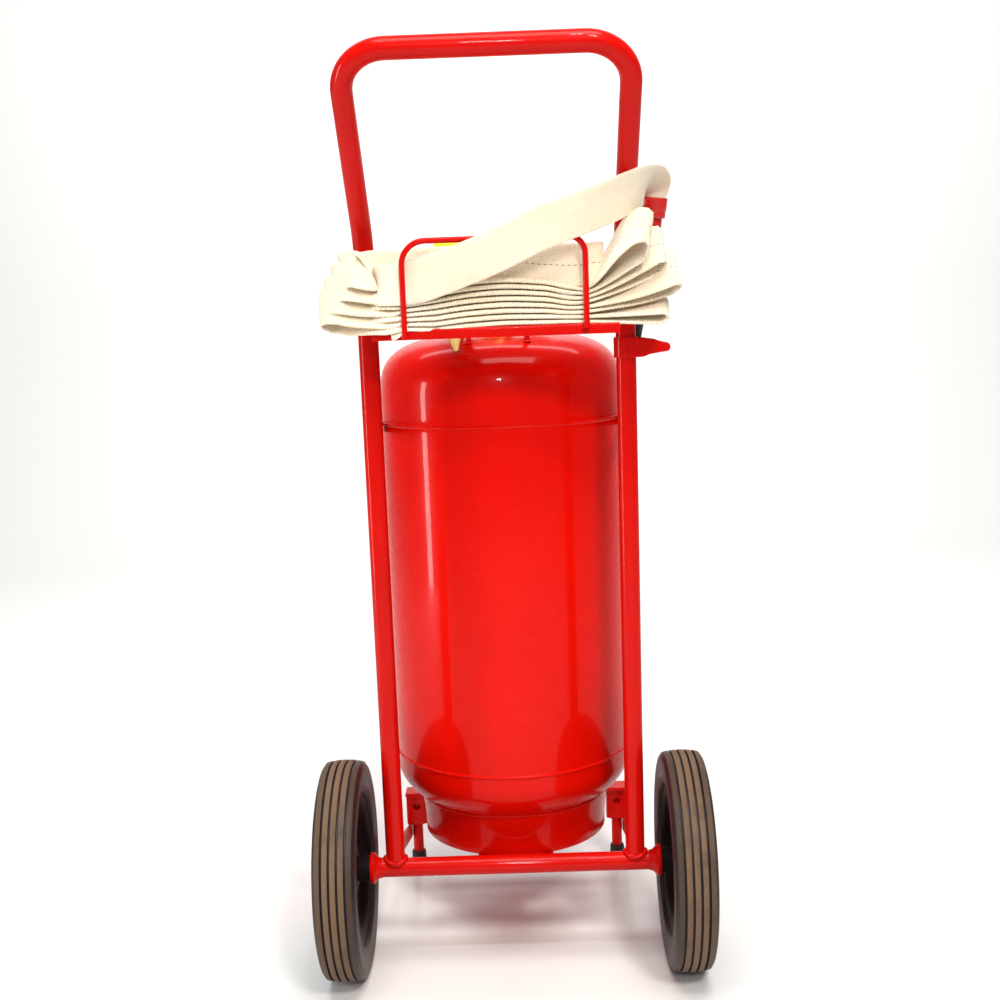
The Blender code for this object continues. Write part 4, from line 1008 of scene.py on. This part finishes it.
def valve():
    """Angle valve, its lever and pin, the elbow to the hose and the drain plug."""
    at = (0, TANK_Y, 0)
    neck_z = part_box("valve_body")[0][2]
    top_z = OUTLET_Z + 0.045
    outline = [
        (0, neck_z), (0.0195, neck_z), (0.0205, neck_z + 0.001), (0.0205, neck_z + 0.0025),
        (0.0165, neck_z + 0.012), (0.0172, neck_z + 0.014), (0.0175, OUTLET_Z), (0.0172, OUTLET_Z + 0.017),
        (0.015, OUTLET_Z + 0.0215), (0.012, OUTLET_Z + 0.025), (0.0112, OUTLET_Z + 0.03),
        (0.0112, top_z - 0.0135), (0.01, top_z - 0.012), (0.01, top_z), (0, top_z),
    ]
    body = turned("valve_casting", outline, BRASS, 56, at, smooth=50)
    hook(body, "valve_body")
    hook(hexed(0.0214, neck_z + 0.0006, neck_z + 0.0098, "valve_nut", BRASS, at))
    hook(hexed(0.0118, top_z - 0.012, top_z - 0.003, "gland_nut", BRASS, at))
    left = facing((-1, 0, 0))
    right = facing((1, 0, 0))
    port = [(0, 0.008), (0.0115, 0.012), (0.0105, 0.018), (0.0115, 0.0245), (0.0115, 0.0295), (0, 0.03)]
    hook(turned("outlet_port", port, BRASS, 40, (0, TANK_Y, OUTLET_Z), left))
    port = [(0, 0.008), (0.0085, 0.012), (0.008, 0.018), (0.008, 0.0235), (0, 0.0235)]
    hook(turned("gauge_port", port, BRASS, 36, (0, TANK_Y, OUTLET_Z), right))
    near, far = (-0.027, TANK_Y - 0.0125, top_z - 0.006), (-0.007, TANK_Y - 0.0035, top_z - 0.0025)
    hook(softened(block("pin_ear", near, far, BRASS), 0.0008))

    elbow_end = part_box("outlet_elbow")[0][1]
    corners = [
        Vector((-0.0303, TANK_Y, OUTLET_Z)), Vector((ELBOW_X, TANK_Y, OUTLET_Z)),
        Vector((ELBOW_X, elbow_end, OUTLET_Z)),
    ]
    path = rounded_path(corners, (0.0135,), 12, 0.006)
    elbow = swept("elbow_pipe", path, 0.0105, BRASS, bore=0.007, sides=40)
    hook(elbow, "outlet_elbow")
    toward = facing((0, -1, 0))
    hook(hexed(0.0126, 0, 0.01, "elbow_nut", BRASS, (ELBOW_X, elbow_end + 0.0102, OUTLET_Z), toward))
    drain = [(0, 0.7428), (0.009, 0.7428), (0.009, 0.756), (0, 0.756)]
    hook(turned("drain_socket", drain, BRASS, 36, (ELBOW_X, PLUG_Y, 0)))
    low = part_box("drain_plug")[0][2]
    plug = [(0, low), (0.0026, low), (0.0034, low + 0.0004), (0.0042, low + 0.0014), (0.009, low + 0.0149),
            (0.0106, low + 0.02), (0.0108, low + 0.0212), (0.0108, low + 0.032), (0, low + 0.032)]
    hook(turned("plug_cone", plug, BRASS, 40, (ELBOW_X, PLUG_Y, 0)), "drain_plug")
    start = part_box("hose_coupling")[1][1]
    coupling = [(0.0072, 0)]
    for n in range(3):
        step = 0.0008 + n * 0.004
        coupling += [(0.0146, step), (0.015, step + 0.0006)]
        coupling += [(0.015, step + 0.0028), (0.0146, step + 0.0034)]
    coupling += [(0.0136, 0.013), (0.0136, 0.0214), (0.013, 0.022), (0.0072, 0.022)]
    ferrule = turned("coupling_ferrule", coupling, BRASS, 48, (ELBOW_X, start, OUTLET_Z), toward)
    hook(ferrule, "hose_coupling")

    blade_low, blade_high = LEVER_Z - 0.0058, LEVER_Z + 0.0058
    reach = -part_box("valve_lever")[0][0]
    near, far = (-reach, TANK_Y - 0.0014, blade_low), (-0.007, TANK_Y + 0.0014, blade_high)
    blade = softened(block("lever_blade", near, far, STEEL), 0.0007)
    hook(blade, "valve_lever", body="valve_lever")
    eye = sleeve(0.0047, 0.0095, LEVER_Z - 0.008, LEVER_Z + 0.006, 0.0005)
    hook(turned("lever_eye", eye, STEEL, 40, at), body="valve_lever")
    stem = [(0, OUTLET_Z + 0.0118), (0.0043, OUTLET_Z + 0.0118), (0.0043, LEVER_Z + 0.008),
            (0.0036, LEVER_Z + 0.009), (0, LEVER_Z + 0.009)]
    hook(turned("stem_rod", stem, ZINC, 32, at), "valve_stem", body="valve_lever")
    grip = block("lever_grip", *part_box("lever_sleeve"), YELLOW)
    hook(softened(grip, 0.0042, 5), "lever_sleeve", body="valve_lever")

    pin_x, pin_y = -0.022, TANK_Y - 0.008
    low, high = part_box("safety_pin")[0][2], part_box("safety_pin")[1][2]
    shank = [(0, low), (0.001, low), (0.0015, low + 0.0008), (0.0015, top_z - 0.0022),
             (0.003, top_z - 0.002), (0.003, high - 0.0006), (0.0024, high), (0, high)]
    hook(turned("pin_shank", shank, STEEL, 24, (pin_x, pin_y, 0)), "safety_pin", body="safety_pin")
    ring = circle((pin_x, pin_y - 0.011, high - 0.003), 0.01, UP, 48)
    hook(swept("pull_ring", ring, 0.0011, STEEL, sides=14, closed=True), body="safety_pin")


def dial_print(centre):
    """A white face with a green sector at the top, red bands beside it and plain ticks."""
    shade = Shade("gauge_dial_print", 0.5)
    x, _, z = shade.axes(shade.node("ShaderNodeVectorMath", operation="SUBTRACT").outputs[0])
    offset = x.node.inputs[0].links[0].from_node
    shade.tree.links.new(shade.where, offset.inputs[0])
    offset.inputs[1].default_value = centre
    radius = shade.math("SQRT", shade.math("ADD", shade.math("POWER", x, 2.0), shade.math("POWER", z, 2.0)))
    angle = shade.math("ARCTAN2", x, z)
    off_top = shade.math("ABSOLUTE", angle)
    band = shade.times(shade.between(radius, 0.0128, 0.013), shade.between(radius, 0.0168, 0.0166))
    green = shade.times(band, shade.between(off_top, 0.5, 0.48))
    red = shade.times(band, shade.between(off_top, 0.5, 0.52))
    red = shade.times(red, shade.between(off_top, 2.2, 2.18))
    tint = shade.mix(green, (0.86, 0.86, 0.83), (0.03, 0.42, 0.08))
    tint = shade.mix(red, tint, (0.7, 0.03, 0.02))
    tick = shade.between(shade.math("SINE", shade.times(angle, 24.0)), 0.94, 0.97)
    tick = shade.times(tick, shade.between(radius, 0.0105, 0.0107))
    tick = shade.times(tick, shade.between(radius, 0.0128, 0.0126))
    shade.colour(shade.mix(tick, tint, (0.02, 0.02, 0.02)))
    return shade.mat


def gauge():
    """A small pressure gauge with a coloured sector, plain ticks and a pointer."""
    centre = Vector((0.048, TANK_Y - 0.006, OUTLET_Z))
    turn = Matrix.Rotation(pi / 2, 3, "X")
    outer = 0.0215
    case = [(0, -0.006), (outer - 0.003, -0.006), (outer - 0.0008, -0.005), (outer, -0.0035),
            (outer, 0.0105), (outer - 0.0004, 0.012), (outer - 0.0014, 0.0123),
            (outer - 0.0018, 0.011), (outer - 0.0018, 0.0), (0, 0.0)]
    hook(turned("gauge_shell", case, BRASS, 64, centre, turn, 45), "gauge_case")
    neck = [(0, 0.0238), (0.005, 0.0238), (0.005, 0.03), (0, 0.03)]
    hook(turned("gauge_neck", neck, BRASS, 24, (0, TANK_Y, OUTLET_Z), facing((1, 0, 0))))
    inner = outer - 0.002
    dial_low, dial_high = 0.0003, 0.0015
    dial = [(0, dial_low), (inner, dial_low), (inner, dial_high), (0, dial_high)]
    hook(turned("dial_plate", dial, dial_print(centre), 64, centre, turn), "gauge_dial")
    hub = [(0, 0.0022), (0.0022, 0.0022), (0.0022, 0.0042), (0.0016, 0.0048), (0, 0.0048)]
    hook(turned("needle_hub", hub, BLACK_PLASTIC, 32, centre, turn), "gauge_needle", body="gauge_needle")
    pointer = [(-0.001, -0.005), (0.001, -0.005), (0.0004, 0.015), (-0.0004, 0.015)]
    outline = [(centre.x + a, centre.z + b) for a, b in pointer]
    blade = extruded("needle_blade", outline, centre.y - 0.0036, centre.y - 0.0028, "Y", BLACK_PLASTIC)
    hook(blade, body="gauge_needle")
    glass = Shade("gauge_glass_clear", 0.03, Transmission_Weight=1.0, IOR=1.45)
    glass.colour(glass.mix(glass.noise(40, 2), (0.95, 0.98, 0.98), (0.9, 0.95, 0.95)))
    lens = [(0, 0.0085), (inner, 0.0085), (inner, 0.01), (inner - 0.004, 0.0108), (0, 0.0113)]
    hook(turned("lens_dome", lens, glass.mat, 64, centre, turn, 60), "gauge_lens")


def nozzle():
    """Coupling with a clamp band, shut-off body with its lever, and the black tip."""
    drop = NOZZLE_LOW - NOZZLE_TOP
    turn = Vector((0, 0, -1)).rotation_difference(drop.normalized()).to_matrix()
    coupling = [(0.008, -0.021), (0.014, -0.021), (0.0146, -0.0204), (0.0146, -0.015), (0.014, -0.0142),
                (0.0148, -0.0132), (0.015, -0.01), (0.0148, -0.004), (0.015, -0.002), (0.0146, -0.0004),
                (0.0138, 0), (0.008, 0)]
    hook(turned("coupling_shell", coupling, RED_PLASTIC, 48, NOZZLE_TOP, turn, 45), "nozzle_coupling")
    body = [(0.007, -0.098), (0.01, -0.098), (0.0106, -0.097), (0.0108, -0.09), (0.012, -0.088),
            (0.012, -0.08), (0.0108, -0.078), (0.0112, -0.062), (0.012, -0.058), (0.012, -0.03),
            (0.0116, -0.0225), (0.011, -0.0213), (0.007, -0.0213)]
    hook(turned("nozzle_barrel", body, RED_PLASTIC, 48, NOZZLE_TOP, turn, 45), "nozzle_body")
    tip = [(0.0035, -0.149), (0.0055, -0.149), (0.006, -0.1484), (0.0062, -0.144), (0.0075, -0.125),
           (0.0098, -0.1), (0.0098, -0.0983), (0.006, -0.0983)]
    hook(turned("tip_cone", tip, BLACK_PLASTIC, 40, NOZZLE_TOP, turn, 45), "nozzle_tip")
    seat = NOZZLE_TOP + turn @ Vector((0, 0, -0.045))
    side_turn = turn @ Matrix.Rotation(-pi / 2, 3, "X")
    post = [(0, 0.01), (0.004, 0.01), (0.004, 0.016), (0, 0.016)]
    hook(turned("lever_post", post, RED_PLASTIC, 24, seat, side_turn))
    outline = arc((0, 0), 180, 360, 0.006, 14) + [(0.0042, 0.03)] + arc((0, 0.047), 0, 180, 0.0038, 10)
    handle = extruded("nozzle_handle", outline, 0.0163, 0.0203, "Z", BLACK_PLASTIC)
    handle.data.transform(Matrix.Translation(seat) @ side_turn.to_4x4())
    softened(handle, 0.0008, 3)
    hook(handle, "nozzle_lever", body="nozzle_lever")


def kept_nodes():
    """Hidden CAD nodes that stay as they are get the finish of their metal."""
    for name in ("dip_tube", "valve_ball"):
        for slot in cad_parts[name].material_slots:
            slot.material = STEEL


camera()
studio()
hose()
tank()
trolley()
bracket()
front_support()
wheels()
valve()
gauge()
nozzle()
kept_nodes()
